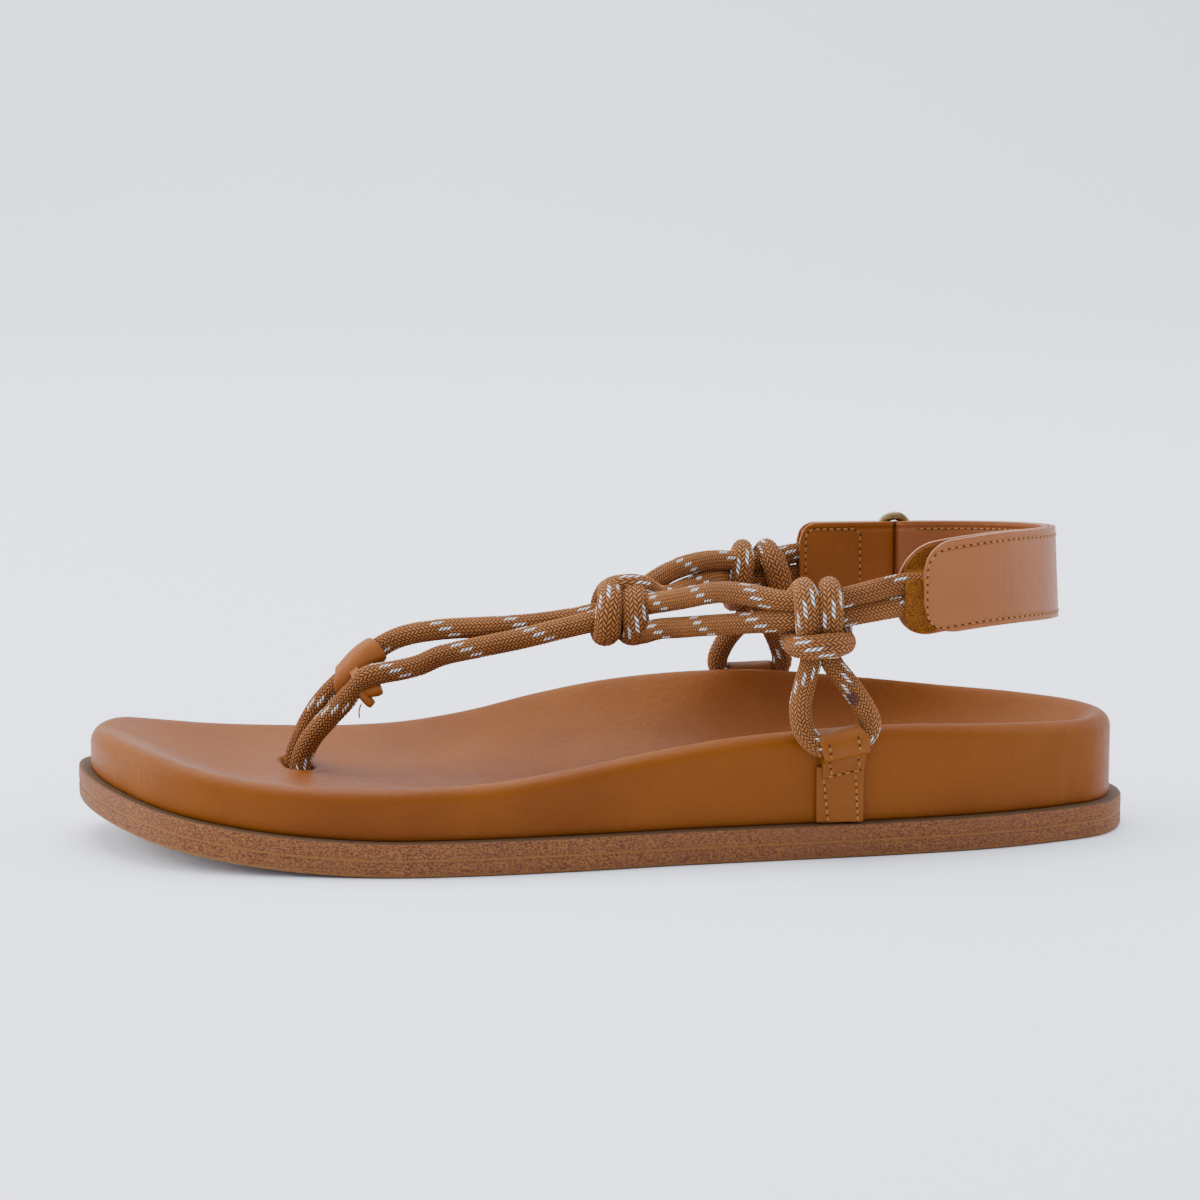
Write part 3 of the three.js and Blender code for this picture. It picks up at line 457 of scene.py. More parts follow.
def column(table, number, share):
    """A column's value at a share of the length, along a curve without corners."""
    at, value = turn_of(table[:, 0]), table[:, number]
    slope = np.diff(value) / np.diff(at)
    span = np.diff(at)
    middle = (slope[:-1] * span[1:] + slope[1:] * span[:-1]) / (span[:-1] + span[1:])
    tangent = np.concatenate([slope[:1], middle, slope[-1:]])
    angle = turn_of(share)
    i = np.clip(np.searchsorted(at, angle, side="right") - 1, 0, len(span) - 1)
    t = (angle - at[i]) / span[i]
    ends = (1 + 2 * t) * (1 - t) ** 2 * value[i] + t**2 * (3 - 2 * t) * value[i + 1]
    return ends + span[i] * (t * (1 - t) ** 2 * tangent[i] + t**2 * (t - 1) * tangent[i + 1])


def share_of(x):
    return (x + LENGTH / 2) / LENGTH


def outsole_top(x):
    lift = np.maximum(0, (SPRING_ENDS_AT - share_of(x)) / SPRING_ENDS_AT)
    return OUTSOLE_THICKNESS + TOE_SPRING * lift**2


# stations: down the outer side from toe to heel, and back up the inner side
down = np.pi * np.arange(SIDE_STATIONS + 1) / SIDE_STATIONS
ANGLE = np.concatenate([down, down[-2:0:-1]])
ON_INNER = np.arange(len(ANGLE)) > SIDE_STATIONS


def by_side(table, outer, inner, share):
    return np.where(ON_INNER, column(table, inner, share), column(table, outer, share))


def outline(inset):
    """The sole's outline moved inwards: x, y and the share of the length at each station."""
    share = lambda angle: (1 - np.cos(angle)) / 2
    low, high = np.maximum(0, ANGLE - HALF_STEP), np.minimum(np.pi, ANGLE + HALF_STEP)
    dx = LENGTH * (share(high) - share(low))
    dy = WIDTH * (by_side(OUTLINE, 1, 2, share(high)) - by_side(OUTLINE, 1, 2, share(low)))
    size = np.hypot(dx, dy) * np.where(ON_INNER, -1, 1)
    here = share(ANGLE)
    x = LENGTH * (here - 0.5) - inset * dy / size
    y = WIDTH * by_side(OUTLINE, 1, 2, here) + inset * dx / size
    return x, y, here


def spine():
    """The middle line of the sole, drawn in from both ends."""
    x = -LENGTH / 2 * SPINE_SHARE * np.cos(ANGLE)
    share = share_of(x)
    return x, WIDTH * (column(OUTLINE, 1, share) + column(OUTLINE, 2, share)) / 2


def rim_height(share):
    return outsole_top(LENGTH * (share - 0.5)) + by_side(CONTOUR, 1, 2, share)


print("stations round the sole:", len(ANGLE))

# %% [markdown]
# The outsole is foamed rubber, moulded to look like two layers of stacked leather. Its side is a
# profile of a few heights: bevelled tread, pale line at half height, bevelled ledge. The profile is
# carried round the outline as rings, and each point keeps its height in the slab, which the finish
# reads to lay the line and the edges.

# %% Outsole
OUTSOLE_PROFILE = [  # inset from the outline and height over the tread
    (5, 0), (1.4, 0), (0.8, 0.05), (0.35, 0.3), (0.08, 0.75), (0, 1.2), (0, 2.4), (0, 3.4), (0.06, 3.62),
    (0.3, 3.8), (0.36, 4.1), (0.3, 4.4), (0.06, 4.58), (0, 4.8), (0, 6), (0, 7.2), (0.05, 7.7),
    (0.25, 8.02), (0.6, 8.17), (1.2, 8.2), (2.2, 8.2), (3.4, 8.2), (6, 8.2),
]


def slab_ring(x, y, up):
    """A ring of the slab, at a height over its tread."""
    return np.stack([x, y, outsole_top(x) - OUTSOLE_THICKNESS + up], axis=1)


def add_outsole():
    rings = [slab_ring(*outline(inset)[:2], up) for inset, up in OUTSOLE_PROFILE]
    rings = [slab_ring(*spine(), 0), *rings, slab_ring(*spine(), OUTSOLE_THICKNESS)]
    piece = ring_stack("outsole_slab", rings)
    rise = piece.data.attributes.new("rise", "FLOAT", "POINT")
    heights = [0, *[up for _, up in OUTSOLE_PROFILE], OUTSOLE_THICKNESS]
    rise.data.foreach_set("value", np.repeat(heights, len(ANGLE)).astype(np.float32))
    close_up(piece)
    return piece


outsole = add_outsole()
settle(outsole, "outsole_stack", "outsole")

# %% [markdown]
# The stack's finish is speckled: reddish grains and tan grains, each about half a millimetre. The
# line at half height is paler, so is the lowest edge, and the ledge on top is darker and olive,
# where dust and finish gather.

# %% Finish of the outsole
PALE_LINE_AT = 4.1
stack = Finish("stacked_rubber", roughness=0.72, specular_ior_level=0.25)
rise = stack.node("Attribute", attribute_name="rise").outputs["Fac"]
grains = stack.noise(2.6, 3, 0.65, stretch=(0.62, 0.62, 1.25))
fine = stack.noise(5.5, 2, 0.6)
speckle = stack.between(stack.plus(grains, stack.times(fine, 0.3)), 0.56, 0.74)
body = stack.mix(speckle, (0.082, 0.020, 0.010), (0.212, 0.088, 0.023))
soft = stack.noise(0.03, 2)
body = stack.lay_over(body, (0.150, 0.055, 0.022), stack.between(soft, 0.4, 0.8), 0.5)
pale_line = stack.minus(1, stack.between(stack.off(rise, PALE_LINE_AT), 0.12, 0.42))
body = stack.lay_over(body, (0.240, 0.110, 0.030), pale_line, 0.6)
low_edge = stack.minus(1, stack.between(rise, 0.5, 1.1))
body = stack.lay_over(body, (0.215, 0.100, 0.030), low_edge, 0.6)
ledge = stack.between(rise, 7.9, 8.15)
body = stack.lay_over(body, (0.060, 0.034, 0.013), ledge, 0.85)
stack.colour(body)
stack.rough(stack.plus(0.62, stack.times(grains, 0.25)))
stack.relief(grains, 0.10)
stack.relief(fine, 0.04)
stack.on(outsole)

# %% [markdown]
# The footbed is cork and foam under one skin of leather. Its wall stands straight up from the ledge,
# the rim rolls over softly, and the top dips to a floor with a cup under the heel, an arch on the
# inner side and a low bar under the toes. Small folds, where the skin was pulled round toe and heel,
# are soft troughs placed one by one, and a funnel marks the hole of the toe strands.

# %% Footbed
WALL_RISES = [0, 0.03, 0.08, 0.18, 0.3, 0.42, 0.54, 0.66, 0.78, 0.9, 1]
RIM_TURNS = [0.12, 0.24, 0.36, 0.48, 0.6, 0.72, 0.86, 1]
BED_FRACTIONS = np.linspace(0, 1, 56)[1:] ** 1.08
WALL_TUCK = 0.2  # how far the skin turns in at its foot
TUCK_ENDS_AT = 0.08
BED_GAP = SEAT_GAP * 0.2
TOE_HOLES = [(-75, 9.6), (-76.3, 14.8)]
HOLE_DEPTH, HOLE_RADIUS, HOLE_SLOPE = 3.4, 2.0, 1.3
HOLE_LIP, LIP_AT, LIP_WIDTH = 0.3, 4.6, 1.1
# folds on the wall: x, side, width, depth and the share of the wall where each is deepest
WALL_FOLDS = [
    (111.5, -1, 1.3, 0.32, 0.25), (114.6, -1, 1.7, 0.24, 0.2), (104, -1, 2.6, 0.16, 0.6),
    (108, 1, 1.4, 0.3, 0.2), (113, 1, 1.8, 0.26, 0.3), (-116, -1, 1.8, 0.22, 0.3),
    (-108, -1, 2.2, 0.16, 0.2), (-112, 1, 1.6, 0.24, 0.3), (-104, 1, 2.4, 0.14, 0.2),
    (-20, -1, 9, 0.12, 0.5), (18, -1, 12, 0.14, 0.55), (74, -1, 8, 0.12, 0.6),
]


def fold_depth(x, rise):
    """How far the folds push the wall in at each station, at a share of its height."""
    side = np.where(ON_INNER, 1, -1)
    depth = np.zeros_like(x)
    for fold_x, fold_side, width, deep, high in WALL_FOLDS:
        lean = 0.8 * width * (rise - high)
        across = np.exp(-(((x - fold_x - lean) / width) ** 2))
        up = np.exp(-(((rise - high) / 0.45) ** 2))
        depth += deep * across * up * (side == fold_side)
    return depth


def wall_ring(rise):
    inward = WALL_TUCK * (1 - smooth(rise / TUCK_ENDS_AT))
    x, _, _ = outline(LEDGE)
    x, y, share = outline(LEDGE + inward + fold_depth(x, rise))
    low = outsole_top(x) + BED_GAP
    return np.stack([x, y, low + rise * (rim_height(share) - RIM_ROUNDING - low)], axis=1)


def rim_ring(turn):
    angle = turn * np.pi / 2
    x, y, share = outline(LEDGE + RIM_ROUNDING * (1 - np.cos(angle)))
    return np.stack([x, y, rim_height(share) + RIM_ROUNDING * (np.sin(angle) - 1)], axis=1)


def hole_dip(x, y):
    """The funnel where the toe strands go down through the bed."""
    (x0, y0), (x1, y1) = TOE_HOLES
    run = np.array([x1 - x0, y1 - y0])
    t = np.clip(((x - x0) * run[0] + (y - y0) * run[1]) / (run @ run), 0, 1)
    away = np.hypot(x - x0 - t * run[0], y - y0 - t * run[1])
    lip = HOLE_LIP * np.exp(-(((away - LIP_AT) / LIP_WIDTH) ** 2))
    return HOLE_DEPTH * (1 - smooth((away - HOLE_RADIUS) / HOLE_SLOPE)) - lip


def bed_ring(fraction):
    x, y, share = outline(LEDGE + RIM_ROUNDING)
    spine_x, spine_y = spine()
    top = rim_height(share)
    cup = by_side(CONTOUR, 4, 5, share)
    x = x + (spine_x - x) * fraction
    y = y + (spine_y - y) * fraction
    eased = fraction * fraction * (1 + CREST_SOFTNESS) / (fraction + CREST_SOFTNESS)
    drop = 1 - (1 - eased) ** cup
    low = outsole_top(x) + column(CONTOUR, 3, share_of(x))
    bar = TOE_BAR_HEIGHT * np.exp(-(((x - TOE_BAR_X) / TOE_BAR_WIDTH) ** 2)) * smooth(fraction * 2)
    return np.stack([x, y, top + (low - top) * drop + bar - hole_dip(x, y)], axis=1)


def add_footbed():
    base_x, base_y = spine()
    base = np.stack([base_x, base_y, outsole_top(base_x) + BED_GAP], axis=1)
    rings = [base, *map(wall_ring, WALL_RISES), *map(rim_ring, RIM_TURNS), *map(bed_ring, BED_FRACTIONS)]
    piece = ring_stack("footbed_shell", rings)
    close_up(piece)
    return piece


footbed = add_footbed()
settle(footbed, "footbed_leather", "footbed")

# %% [markdown]
# Smooth cowhide, dyed cognac and lightly waxed. From near it is not one brown: broad soft clouds,
# darker in the hollows, and a paler, greyer bloom where the wax was rubbed. The grain is two sizes
# of cells, and a vertical wrinkle runs where the skin was stretched up the wall.


# %% Finish of the leather
def leather(name, colours, gloss, shine):
    deep, plain, worn = colours
    skin = Finish(name, roughness=gloss, specular_ior_level=shine)
    cloud = skin.noise(0.022, 3, 0.55)
    fleck = skin.noise(0.35, 4, 0.65)
    tone = skin.mix(skin.between(cloud, 0.3, 0.7), deep, plain)
    tone = skin.lay_over(tone, worn, skin.between(fleck, 0.58, 0.80), 0.15)
    pores = skin.cells(1.5)
    tone = skin.lay_over(tone, deep, skin.between(pores, 0.35, 0.05), 0.18)
    skin.colour(tone)
    skin.rough(skin.plus(gloss - 0.07, skin.times(fleck, 0.16)))
    skin.relief(skin.cells(1.1, "DISTANCE_TO_EDGE"), 0.05)
    skin.relief(skin.noise(2.6, 3, 0.6), 0.09)
    skin.relief(skin.noise(0.45, 3, 0.5, stretch=(1.8, 1.8, 0.3)), 0.14)
    return skin


COGNAC = (0.134, 0.034, 0.0018), (0.174, 0.049, 0.003), (0.24, 0.080, 0.008)
cognac = leather("cognac_leather", COGNAC, 0.5, 0.12)
cognac.on(footbed)

# %% [markdown]
# A cord's way is a list of places that the maker's hand would lead it through. A curve through them
# is stepped evenly and its corners are eased, because a cord as stiff as this one never kinks.


# %% The way of a cord
def length_along(points):
    return np.concatenate([[0], np.cumsum(np.linalg.norm(np.diff(points, axis=0), axis=1))])


def values_at(at, run, table):
    """The rows of a table at lengths along a way."""
    return np.stack([np.interp(at, run, values) for values in table.T], axis=1)


def unit(ways):
    return ways / np.linalg.norm(ways, axis=1)[:, None]


def even_steps(points, step):
    """The same way, in equal steps."""
    run = length_along(points)
    count = max(2, int(round(run[-1] / step)))
    at = np.linspace(0, run[-1], count + 1)
    return values_at(at, run, points)


def curve_through(places):
    """A curve without corners through the places, many points to each stretch."""
    p = np.array(places, dtype=float)
    p = np.vstack([2 * p[0] - p[1], p, 2 * p[-1] - p[-2]])
    knot = np.concatenate([[0], np.cumsum(np.linalg.norm(np.diff(p, axis=0), axis=1) ** 0.5)])
    out = []
    for i in range(1, len(p) - 2):
        t = np.linspace(knot[i], knot[i + 1], 24, endpoint=False)[:, None]
        k = knot[i - 1 : i + 3]
        a = [((k[j + 1] - t) * p[i - 1 + j] + (t - k[j]) * p[i + j]) / (k[j + 1] - k[j]) for j in range(3)]
        b = [((k[j + 2] - t) * a[j] + (t - k[j]) * a[j + 1]) / (k[j + 2] - k[j]) for j in range(2)]
        out.append(((k[2] - t) * b[0] + (t - k[1]) * b[1]) / (k[2] - k[1]))
    return np.vstack([*out, p[-2:-1]])


def eased(points, step, reach):
    """Rounds the corners over a reach, and leaves the ends where they are."""
    size = int(3 * reach / step)
    weight = np.exp(-0.5 * (np.arange(-size, size + 1) * step / reach) ** 2)
    weight /= weight.sum()
    before = 2 * points[0] - points[size:0:-1]
    after = 2 * points[-1] - points[-2 : -size - 2 : -1]
    padded = np.vstack([before, points, after])
    return np.stack([np.convolve(values, weight, mode="valid") for values in padded.T], axis=1)


def way(places, step, reach=1.1):
    return even_steps(eased(even_steps(curve_through(places), step), step, reach), step)


def frames(points):
    """At each point of a way: the way on, and two directions across it that never twist."""
    along = unit(np.gradient(points, axis=0))
    side = np.empty_like(along)
    start = np.cross(along[0], (0.3, 1, 0.2))
    side[0] = start / np.linalg.norm(start)
    for i in range(1, len(points)):
        turned = side[i - 1] - along[i] * (side[i - 1] @ along[i])
        side[i] = turned / np.linalg.norm(turned)
    return along, side, np.cross(along, side)


# %% [markdown]
# The cord is a braided sleeve round a core: nine pairs of stitch columns, one leaning each way. The
# sleeve is a flat sheet rolled into a tube, and a point's height follows the stitch it lies in, so
# the braid has real relief. The sheet remembers how many stitches along and columns round each
# point lies, and the finish draws the yarns from that.

# %% Braided cord
ROPE_RADIUS = 2.6
COLUMNS = 18
AROUND = 3 * COLUMNS
RING_STEP = 0.34
STITCH_RELIEF = 0.26
STITCH_SLANT = 0.95
PRESSED = 0.55  # how flat a sewn end is, of its full thickness
PRESS_EASE = 8


def stitch_height(stitches, columns):
    """How far the yarn stands out, from 0 in a valley to 1 on a crown."""
    number = np.floor(columns + 1e-6)
    across = columns - number
    odd = number % 2
    lean = (1 - 2 * odd) * STITCH_SLANT * (across - 0.5)
    crown = 0.5 + 0.5 * np.cos(2 * np.pi * (stitches + lean + 0.5 * odd))
    return (0.4 + 2.4 * across * (1 - across)) * (0.3 + 0.7 * crown)


def cord(name, points, pitch, press_start=0.0, press_end=0.0, swell=None):
    """A braided cord along a way. pitch gives the stitch length, in millimetres, at each point, and
    swell how much wider it is there along each axis."""
    _, side, other = frames(points)
    piece, _, a, i = flat_sheet(name, len(points) - 1, AROUND)
    run = length_along(points)
    stitches = np.concatenate([[0], np.cumsum(np.diff(run) / pitch[1:])])
    columns = a * COLUMNS
    height = stitch_height(stitches[i], columns % COLUMNS)
    radius = ROPE_RADIUS - STITCH_RELIEF * 0.6 + STITCH_RELIEF * height
    turn = 2 * np.pi * a
    out = radius[:, None] * (np.cos(turn)[:, None] * side[i] + np.sin(turn)[:, None] * other[i])
    flat = np.ones(len(run))
    if press_start:
        flat = np.minimum(flat, PRESSED + (1 - PRESSED) * smooth((run - press_start) / PRESS_EASE))
    if press_end:
        left = run[-1] - press_end - run
        flat = np.minimum(flat, PRESSED + (1 - PRESSED) * smooth(left / PRESS_EASE))
    out[:, 1] *= flat[i]
    if swell is not None:
        out *= swell[i]
    set_points(piece, points[i] + out)
    set_sheet(piece, stitches[i], columns)
    close_up(piece, 1e-7)
    return piece


print("points round a cord:", AROUND)

# %% [markdown]
# Places of the cords, as in the model. Two strands rise from the toe hole. The outer one runs to the
# heel strap, the inner one to the ring tab. A third cord starts at the strap, wraps both strands
# twice as the centre knot, crosses over the top and ends at the ring tab.

# %% Ways of the harness
OUTER_STRAND = [
    (-75, 9.6, 10), (-75, 9.6, 15.9), (-74.3, 9.6, 18.8), (-71.9, 9.5, 23.4), (-68.3, 9.2, 27.6),
    (-64, 8.6, 32.2), (-61.4, 7.8, 35.7), (-58.9, 7.2, 38.3), (-55.7, 6.8, 39.3), (-50.4, 6.6, 40.2),
    (-45.4, 6.4, 41.4), (-40.5, 6.2, 43.6), (-30.7, 5.2, 45.8), (-21, 3.8, 47.9), (-11.3, 2.2, 50.4),
    (-2, 0.8, 52.8), (3, 0.2, 54.6), (6.8, 0.1, 55.8), (10.4, -3, 57.2), (14, -7, 58.3), (19, -11.8, 60),
    (25.6, -16.8, 61.8), (32.1, -21.8, 61.8), (38.8, -25.8, 60.8), (44.5, -27.6, 60.6),
    (50.5, -27.8, 60.8), (57.7, -27.6, 62.4), (63.8, -27.2, 63.8), (69, -27, 64.7), (76, -27, 64.6),
]
INNER_STRAND = [
    (-76.3, 14.8, 10), (-76.3, 14.8, 15.4), (-75.7, 14.8, 18.7), (-73.5, 14.6, 24.2), (-71, 14.1, 29),
    (-67.6, 13.6, 33.4), (-64.5, 13.2, 36.5), (-61.4, 12.9, 39.4), (-57.8, 12.8, 42.9),
    (-52.9, 12.5, 46.2), (-48.4, 12, 48), (-40.1, 11, 49.4), (-27.9, 9, 50.2), (-18.2, 7.2, 51),
    (-8.5, 5.8, 52.4), (-1.1, 4.9, 54), (3, 4.9, 55), (7, 6.4, 56.4), (10.5, 10, 58.8), (14, 12.6, 61),
    (20.1, 16.4, 63.2), (28.4, 22.2, 64), (36.7, 27.2, 63), (43.4, 29.2, 62.9), (49.6, 30, 64.2),
    (54, 30.4, 64.6), (62, 30.6, 64.6),
]
KNOTTED_ROPE = [
    (76, -27, 59.3), (69, -27, 59.4), (63.9, -27.2, 58.7), (57.8, -27.6, 57.8), (50.5, -27.8, 56.6),
    (44.5, -27.6, 56.4), (39.9, -26.8, 56.1), (33.8, -23.8, 55.4), (25.5, -17.8, 54.1), (17, -11, 52.5),
    (12.2, -7.6, 51.7), (9.6, -2.8, 50.2), (8.6, 3.2, 49), (8.2, 7.8, 51.2), (7.8, 9, 55.5),
    (7.2, 6.6, 59), (6.7, 1.7, 60.3), (6.5, -3.2, 58.2), (6.6, -4.9, 54), (7, -2.8, 50.2),
    (6.2, 2.2, 48.7), (5, 7.2, 50.6), (4, 9.1, 55), (2.8, 6.6, 59), (1.4, 1.7, 60.3), (0.6, -3.2, 58.2),
    (-0.1, -4.9, 54), (-0.1, -2.8, 50.2), (-0.4, 2.2, 48.7), (-0.2, 7.2, 50.8), (0, 8.8, 55),
    (0.8, 6.8, 58.6), (2.4, 2.8, 60.8), (4.6, 0.2, 61.5), (7.4, 0.6, 61.4), (10, 2.6, 60.2),
    (11.8, 4.8, 58.8), (13.8, 7.2, 57.4), (16.8, 10.2, 57.2), (22.6, 16.2, 58.3), (28.7, 22.2, 59),
    (35.5, 27.2, 58.4), (42.1, 29.2, 58), (49.6, 30, 58.8), (54, 30.4, 59.2), (62, 30.6, 59.2),
]
LONG_STITCH = 1.02
SHORT_STITCH = 0.7  # on the side ropes just behind the knot, where they are packed tighter
TIGHT_FROM, TIGHT_TO = 9, 34
KNOT_SWELL = 0.24
PINCHED_AT, BULGED_AT = -61.2, -57.8
SEWN_END = 9


def stitch_lengths(points):
    """The stitches are long on the toe strands, short behind the knot, and long again further on."""
    x = points[:, 0]
    tight = smooth((x - TIGHT_FROM + 4) / 6) * (1 - smooth((x - 20) / (TIGHT_TO - 16)))
    return LONG_STITCH + (SHORT_STITCH - LONG_STITCH) * tight


def knot_swell(points):
    """The wraps of the knot are pressed until they touch, so they are wider along the sandal."""
    swell = np.ones((len(points), 3))
    swell[:, 0] += KNOT_SWELL * (1 - smooth((points[:, 0] - 9) / 3))
    return swell


def keeper_pinch(points):
    """The keeper pinches the outer strand, which bulges behind it."""
    pinched = np.exp(-(((points[:, 0] - PINCHED_AT) / 1.2) ** 2))
    bulged = np.exp(-(((points[:, 0] - BULGED_AT) / 2) ** 2))
    return np.tile((1 - 0.16 * pinched + 0.07 * bulged)[:, None], (1, 3))


HARNESS_CORDS = [  # name, places, how far its start is pressed, and its swelling
    ("outer", OUTER_STRAND, 0, keeper_pinch),
    ("inner", INNER_STRAND, 0, None),
    ("knot", KNOTTED_ROPE, SEWN_END, knot_swell),
]


def add_harness():
    parts = []
    for name, places, sewn_start, swelling in HARNESS_CORDS:
        points = way(places, RING_STEP)
        swell = swelling(points) if swelling else None
        parts.append(cord(name, points, stitch_lengths(points), sewn_start, SEWN_END, swell))
        print(name, "cord", round(len(points) * RING_STEP), "mm")
    return join_all("braided_harness", parts)


harness = add_harness()
settle(harness, "braided_rope", "rope_harness")

# %% [markdown]
# Each side loop is one closed cord, hitched round the two side ropes: up in front, over, down behind,
# across the front, up behind, over again and down. One hitch table serves both sides. The cord's
# ends meet inside the fold of its tab, where nothing shows.

# %% Side loops
HITCH = [  # along, out from the foot, up
    (-2, 3.2, -10.9), (-2.2, 3, -6.4), (-2.9, 4.7, -1), (-3.2, 4.2, 3.6), (-3.4, 0.3, 6.3), (-4, -4, 3.5),
    (-4.8, -4.9, -1.6), (-5.6, -2.8, -5.9), (-5.5, 2.7, -7.4), (-3.2, 7.1, -7), (0.3, 8.2, -6.6),
    (3.9, 7.1, -6.5), (6.3, 2.9, -6.7), (6.2, -2.4, -5.7), (5.3, -4.9, -1.3), (3.9, -4, 3.6),
    (2.7, 0.3, 6.4), (2.4, 4.2, 3.6), (2.3, 4.7, -1), (2.3, 3, -6.4), (2.8, 3.2, -10.9),
]
OUTER_HITCH_AT = (47.5, -27.8, 58)
OUTER_BACK_LEG = [
    (54, -32.6, 42), (57.4, -34.2, 36.9), (59.2, -35.2, 32.6), (57.6, -36, 29.4), (53, -36.6, 28.2),
]
OUTER_FRONT_LEG = [
    (53, -36.6, 28.2), (47, -36.9, 27.6), (43.4, -36.7, 30.6), (42.3, -35.6, 35.6), (43.6, -33.2, 41.6),
]
INNER_HITCH_AT = (41, 29, 59.6)
INNER_BACK_LEG = [(47.4, 34, 41.4), (48.8, 35, 35.8), (46.4, 35.4, 32.5), (40.6, 35.6, 31.7)]
INNER_FRONT_LEG = [(40.6, 35.6, 31.7), (34.9, 35.4, 32.3), (32.1, 35.2, 35.6), (34, 34.4, 41.4)]


def hitch_swell(points, low):
    """In the hitch the cord is pressed: wider where it stands up, taller where it lies across."""
    along = unit(np.abs(np.gradient(points, axis=0)))
    inside = smooth((points[:, 2] - low) / 3)
    swell = np.ones((len(points), 3))
    swell[:, 0] += 0.2 * inside * smooth((along[:, 2] - 0.4) / 0.4)
    swell[:, 2] += 0.14 * inside * smooth((along[:, 0] - 0.4) / 0.4)
    return swell


def add_loop(name, at, front_leg, back_leg):
    x, y, z = at
    side = math.copysign(1, y)
    turns = [(x + along, y + side * out, z + up) for along, out, up in HITCH]
    points = way([*front_leg, *turns, *back_leg], RING_STEP, 0.9)
    return cord(name, points, np.full(len(points), LONG_STITCH), swell=hitch_swell(points, z - 9))


outer_loop = add_loop("outer_rope_loop", OUTER_HITCH_AT, OUTER_FRONT_LEG, OUTER_BACK_LEG)
settle(outer_loop, "braided_rope", "outer_loop")
inner_loop = add_loop("inner_rope_loop", INNER_HITCH_AT, INNER_FRONT_LEG, INNER_BACK_LEG)
settle(inner_loop, "braided_rope", "inner_loop")

# %% [markdown]
# Brown yarn, with painted shade darkening it between the stitches, and one pale yarn that comes up
# as three short flecks side by side and steps round the cord. The finish finds the column, the stitch
# in it and the place across the stitch by arithmetic on the sheet's two numbers. Short fibres get a fine
# bump.

# %% Finish of the cord
FLECK_EVERY, FLECK_LONG = 18, 2.5
# the middle of a dark purple-brown spot on the outer loop's back leg
DARK_SPOT_AT = (54.4, -36.2, 38.6)
SHEEN = {"sheen_weight": 0.08, "sheen_roughness": 0.5, "sheen_tint": (0.75, 0.5, 0.35, 1)}
braid = Finish("braided_yarn", roughness=0.8, specular_ior_level=0.3, **SHEEN)
stitches, columns = braid.on_sheet()
number = braid.math("FLOOR", braid.plus(columns, 0.0001))
across = braid.minus(columns, number)
odd = braid.math("MODULO", number, 2)
handed = braid.minus(1, braid.times(odd, 2))
lean = braid.times(handed, braid.times(braid.minus(across, 0.5), STITCH_SLANT))
place = braid.plus(braid.plus(stitches, lean), braid.times(odd, 0.5))
stitch = braid.math("FLOOR", braid.plus(place, 0.5))
within = braid.off(place, stitch)
beside = braid.off(across, 0.5)
lengthwise = braid.between(within, 0.46, 0.17)
sidewise = braid.plus(0.35, braid.times(0.65, braid.between(beside, 0.5, 0.34)))
crown = braid.times(lengthwise, sidewise)
pair = braid.math("FLOOR", braid.times(number, 0.5))
step = braid.minus(stitch, braid.times(pair, 2))
again = braid.math("FLOORED_MODULO", step, FLECK_EVERY)
pale = braid.times(braid.math("LESS_THAN", again, FLECK_LONG), braid.minus(1, odd))
fibre = braid.noise(5.5, 3, 0.6)
tint = braid.noise(0.09, 2)
yarn = braid.mix(braid.between(tint, 0.3, 0.7), (0.275, 0.084, 0.010), (0.375, 0.130, 0.020))
yarn = braid.lay_over(yarn, (0.36, 0.14, 0.03), fibre, 0.5)
yarn = braid.mix(pale, yarn, (0.80, 0.74, 0.70))
# painted shade: the yarn is darkened between the stitches, away from each crown, where the braid's gaps
# lie in shade
yarn = braid.lay_over(yarn, (0.030, 0.007, 0.001), braid.minus(1, crown), 0.97)
# a dark purple-brown spot with a ragged edge, about three millimetres round its middle
from_dark_spot = braid.plus(braid.away_from(*DARK_SPOT_AT), braid.times(fibre, 2))
braid.colour(braid.lay_over(yarn, (0.035, 0.010, 0.010), braid.between(from_dark_spot, 3.4, 2.4), 0.75))
braid.relief(crown, 0.38)
braid.relief(fibre, 0.05)
for piece in (harness, outer_loop, inner_loop):
    braid.on(piece)

# %% [markdown]
# A strap is a strip of leather with an even thickness. A flat grid is bent along the strip's way,
# its long edges are set to the strap's outline, Solidify gives it its thickness and a small bevel
# takes the sharp edge off, as the maker's edge tool does.


# %% Helper for leather strips
def strip(name, points, up, low, high, thick, across=14, round_edge=0.4):
    """A strip along points. low and high are its edges along up, at each point."""
    piece, _, a, i = flat_sheet(name, len(points) - 1, across)
    width = low[i] + (high[i] - low[i]) * a
    run = length_along(points)
    set_points(piece, points[i] + up[i] * width[:, None])
    set_sheet(piece, run[i], width)
    finish_with(piece, "SOLIDIFY", thickness=thick * MM, offset=0, use_even_offset=True)
    finish_with(piece, "BEVEL", width=round_edge * MM, segments=3, limit_method="ANGLE", angle_limit=0.9)
    face_outwards(piece)
    return piece


def rounded(run, half, start_top=0, start_low=0, end_top=0, end_low=0):
    """Edges of a strip with round corners: the corner radius of each edge at each end."""

    def bite(distance, radius):
        if not radius:
            return np.zeros_like(distance)
        inside = np.clip(radius - distance, 0, radius)
        return radius - np.sqrt(np.maximum(radius**2 - inside**2, 0))

    back = run[-1] - run
    high = half - bite(run, start_top) - bite(back, end_top)
    low = -half + bite(run, start_low) + bite(back, end_low)
    return low, high


# %% [markdown]
# A stitch is a short length of waxed thread between two holes. One is modelled, as a stretched ball
# of few faces, and copied along each seam, lying flush in the leather. The shade in the needle's holes
# between the stitches is painted: the same ball, smaller, coloured dark and sunk a little.

# %% Stitches
THREAD = 0.55
STITCH_LONG = 1.3
STITCH_PITCH = 1.78
HOLE_LONG, HOLE_WIDE, HOLE_SUNK = 1.15, 0.5, 0.12


